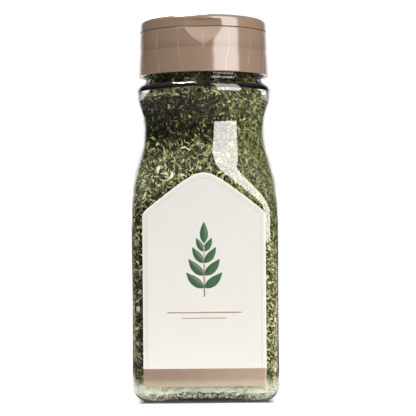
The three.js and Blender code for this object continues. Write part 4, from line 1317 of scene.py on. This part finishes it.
class JAR_OT_flakes(bpy.types.Operator):
    """Fill the bottle with dried parsley flakes"""

    bl_idname = "spice_jar.flakes"
    bl_label = "Flakes"

    def execute(self, context):
        settings, labels = context.scene.jar_flakes, context.scene.jar_labels
        form = BottleForm(context.scene.jar_bottle)
        draw = np.random.default_rng(settings.seed)
        dress = dried_leaf(settings), "jar", "dried_parsley"
        *shape, tints = heap_core(form, draw, settings)
        core = make_piece("parsley_heap", *shape, *dress, values=tints)
        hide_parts("parsley_fill")
        for kind, maker, usual, count, tilt in (
            ("scraps", leaf_scraps, settings.scrap_length, settings.scraps, 0.7),
            ("shreds", partial(leaf_strips, rings=3), settings.shred_length, settings.shreds, 0.45),
            ("broken", partial(leaf_strips, rings=2), settings.broken_length, settings.broken, 0.8),
        ):
            walls = wall_places(form, draw, count, settings, labels)
            ends = [end_places(form, draw, count // 18, settings, top) for top in (True, False)]
            places = [np.concatenate(parts) for parts in zip(walls, *ends)]
            high = places[0][:, Z] >= FLAKES_SPLIT
            for zone, here in (("lower", ~high), ("upper", high)):
                centre, out, depth = (part[here] for part in places)
                points, tris, tints = flake_mesh(form, draw, centre, out, depth, maker, usual, settings, tilt)
                flakes = make_piece(f"parsley_{kind}_{zone}", points, [], tris, *dress, values=tints)
                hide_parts("parsley_fill")
        return {"FINISHED"}


class JAR_OT_labels(bpy.types.Operator):
    """Lay a label with its print on the front and the back"""

    bl_idname = "spice_jar.labels"
    bl_label = "Labels"

    def execute(self, context):
        label = context.scene.jar_labels
        form = BottleForm(context.scene.jar_bottle)
        paper = label_paper(label)
        ink, foil = printed_ink("leaf_ink", label.ink, 0), printed_ink("rule_foil", label.foil, 0.5)
        print_lift = LABEL_GAP + label.thickness / MM + PRINT_GAP
        for name, side, shift in (("label_front", 1, -label.shift / MM), ("label_back", -1, 0)):
            distance, height, edge = label_sheet(label, shift)
            uv = np.stack([(distance - shift) * MM, height * MM], -1).reshape(-1, 2)
            sheet = make_piece(
                f"{name}_sheet", laid_on(form, distance, height, LABEL_GAP, side), strip_quads(*height.shape), [],
                paper, "jar", "label_paper", sharp=60, values={"edge": edge.ravel()}, uv=uv,
            )  # fmt: skip
            self.thicken(sheet, label.thickness)
            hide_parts(name)
            for part, finish, (x, z) in (("leaves", ink, sprig()), ("rules", foil, rules())):
                count, rows, columns = x.shape
                points = laid_on(form, x + shift, z, print_lift, side)
                quads = repeated(strip_quads(rows, columns), count, rows * columns)
                printed = make_piece(f"{name}_{part}", points, quads, [], finish, "jar", "label_paper", sharp=60)
                self.thicken(printed, PRINT_THICKNESS)
        return {"FINISHED"}

    @staticmethod
    def thicken(piece, thickness):
        """Gives a sheet its thickness outwards from the face that it lies on."""
        normals, centres = (np.zeros((len(piece.data.polygons), 3)) for _ in range(2))
        piece.data.polygons.foreach_get("normal", normals.ravel())
        piece.data.polygons.foreach_get("center", centres.ravel())
        if (normals[:, 1] * centres[:, 1]).sum() < 0:
            piece.data.flip_normals()
        solid = piece.modifiers.new("thickness", "SOLIDIFY")
        solid.thickness, solid.offset = thickness, 1


class JAR_OT_cap(bpy.types.Operator):
    """Make the cap's skirt, plate and hinge bar, its two flaps and their webs"""

    bl_idname = "spice_jar.cap"
    bl_label = "Cap"

    def execute(self, context):
        cap = CapForm(context.scene.jar_cap)
        finish = cap_plastic(context.scene.jar_cap, cap)
        shell = make_piece("cap_shell", *turned_mesh(skirt_rings(cap)))
        combine(shell, [hinge_bar(cap)], "UNION")
        combine(shell, [bar_hollow(cap), *sifter_cutters(cap), spoon_cutter(cap)], "DIFFERENCE")
        shell.data.materials.clear()
        shell.data.materials.append(finish)
        shell.data.polygons.foreach_set("material_index", np.zeros(len(shell.data.polygons), np.int32))
        smooth_shade(shell.data, CAP_SHARP)
        shell.data.name = shell.name
        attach(shell, "cap")
        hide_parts("cap_base")
        for name, node, body, side in (
            ("cap_flap_front", "flap_front", "front_flap", 1),
            ("cap_flap_back", "flap_back", "back_flap", -1),
        ):
            flap = make_piece(name, *flap_mesh(cap, side), [], finish, body, "cap_plastic")
            self.tidy(flap)
            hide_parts(node)
        make_piece("cap_hinge_webs", *web_tubes(cap), finish, "cap", "cap_plastic", sharp=40)
        return {"FINISHED"}

    @staticmethod
    def tidy(flap):
        """Merges the points that meet on the hinge line, and shades the flap smooth."""
        work = bmesh.new()
        work.from_mesh(flap.data)
        bmesh.ops.remove_doubles(work, verts=work.verts, dist=2e-6)
        bmesh.ops.dissolve_degenerate(work, edges=work.edges, dist=1e-7)
        bmesh.ops.recalc_face_normals(work, faces=work.faces)
        work.to_mesh(flap.data)
        work.free()
        smooth_shade(flap.data, CAP_SHARP)


class JAR_OT_studio(bpy.types.Operator):
    """Set up the camera, the lights, the surround and the floor"""

    bl_idname = "spice_jar.studio"
    bl_label = "Studio"

    def execute(self, context):
        settings, scene = context.scene.jar_studio, context.scene
        camera = bpy.data.objects.new("studio_camera", bpy.data.cameras.new("studio_camera"))
        camera.data.lens, camera.data.sensor_width = settings.lens, 36
        camera.data.clip_start, camera.data.clip_end = 0.01, 50
        yaw, roll = (Matrix.Rotation(math.radians(angle), 4, "Z") for angle in (CAMERA_YAW, CAMERA_ROLL))
        level = Matrix.Rotation(QUARTER, 4, "X")
        camera.matrix_world = Matrix.Translation((0, -settings.distance, settings.eye)) @ yaw @ level @ roll
        scene.collection.objects.link(camera)
        scene.camera = camera
        scene.view_settings.view_transform = "Standard"
        scene.view_settings.look = "None"
        for name, place, aim, wide, tall, brightness in SOFTBOXES:
            self.lamp(scene, name, place, aim, wide, tall, getattr(settings, brightness))
        scene.world = surround(settings)
        if settings.show_floor:
            self.floor(settings)
        return {"FINISHED"}

    @staticmethod
    def lamp(scene, name, place, aim, wide, tall, brightness):
        """A rectangular softbox facing a point. Its power is four times its brightness times its area."""
        data = bpy.data.lights.new(name, "AREA")
        data.shape, data.size, data.size_y = "RECTANGLE", wide, tall
        data.energy, data.color = brightness * 4 * wide * tall, LAMP_COLOUR
        lamp = bpy.data.objects.new(name, data)
        lamp.rotation_mode = "QUATERNION"
        lamp.rotation_quaternion = (Vector(place) - Vector(aim)).to_track_quat("Z", "Y")
        lamp.location = place
        scene.collection.objects.link(lamp)

    @staticmethod
    def floor(settings):
        """A round white floor that glows softly round the jar."""
        turn = np.linspace(0, math.tau, FLOOR_COLUMNS, endpoint=False)
        points = np.concatenate([np.zeros((1, 3)), *(around(radius, turn, 0) for radius in FLOOR_RADII)])
        quads = strip_quads(len(FLOOR_RADII), FLOOR_COLUMNS, True) + 1
        sweep = make_piece("studio_floor", points, quads, pole_fan(0, 1, FLOOR_COLUMNS), floor_white(settings))
        if sweep.data.polygons[0].normal.z < 0:
            sweep.data.flip_normals()


class JAR_PT_panel(bpy.types.Panel):
    """Everything that makes the jar, in the sidebar"""

    bl_idname = "JAR_PT_panel"
    bl_label = "Filled Spice Jar"
    bl_space_type = "VIEW_3D"
    bl_region_type = "UI"
    bl_category = "Spice Jar"

    def draw(self, context):
        for name, _, operator in PARTS:
            box = self.layout.box()
            box.operator(operator.bl_idname)
            settings = getattr(context.scene, name)
            for key in settings.bl_rna.properties.keys():
                if key not in ("rna_type", "name"):
                    box.prop(settings, key)


PARTS = (
    ("jar_studio", StudioSettings, JAR_OT_studio),
    ("jar_bottle", BottleSettings, JAR_OT_bottle),
    ("jar_flakes", FlakeSettings, JAR_OT_flakes),
    ("jar_labels", LabelSettings, JAR_OT_labels),
    ("jar_cap", CapSettings, JAR_OT_cap),
)


def register():
    """Registers the settings, the operators and the panel."""
    for name, group, operator in PARTS:
        bpy.utils.register_class(group)
        setattr(bpy.types.Scene, name, PointerProperty(type=group))
        bpy.utils.register_class(operator)
    bpy.utils.register_class(JAR_PT_panel)


def unregister():
    """Takes them away again."""
    bpy.utils.unregister_class(JAR_PT_panel)
    for name, group, operator in reversed(PARTS):
        bpy.utils.unregister_class(operator)
        delattr(bpy.types.Scene, name)
        bpy.utils.unregister_class(group)


def main():
    """Makes every piece."""
    register()
    for _, _, operator in PARTS:
        family, name = operator.bl_idname.split(".")
        getattr(getattr(bpy.ops, family), name)()


if __name__ == "__main__":
    main()
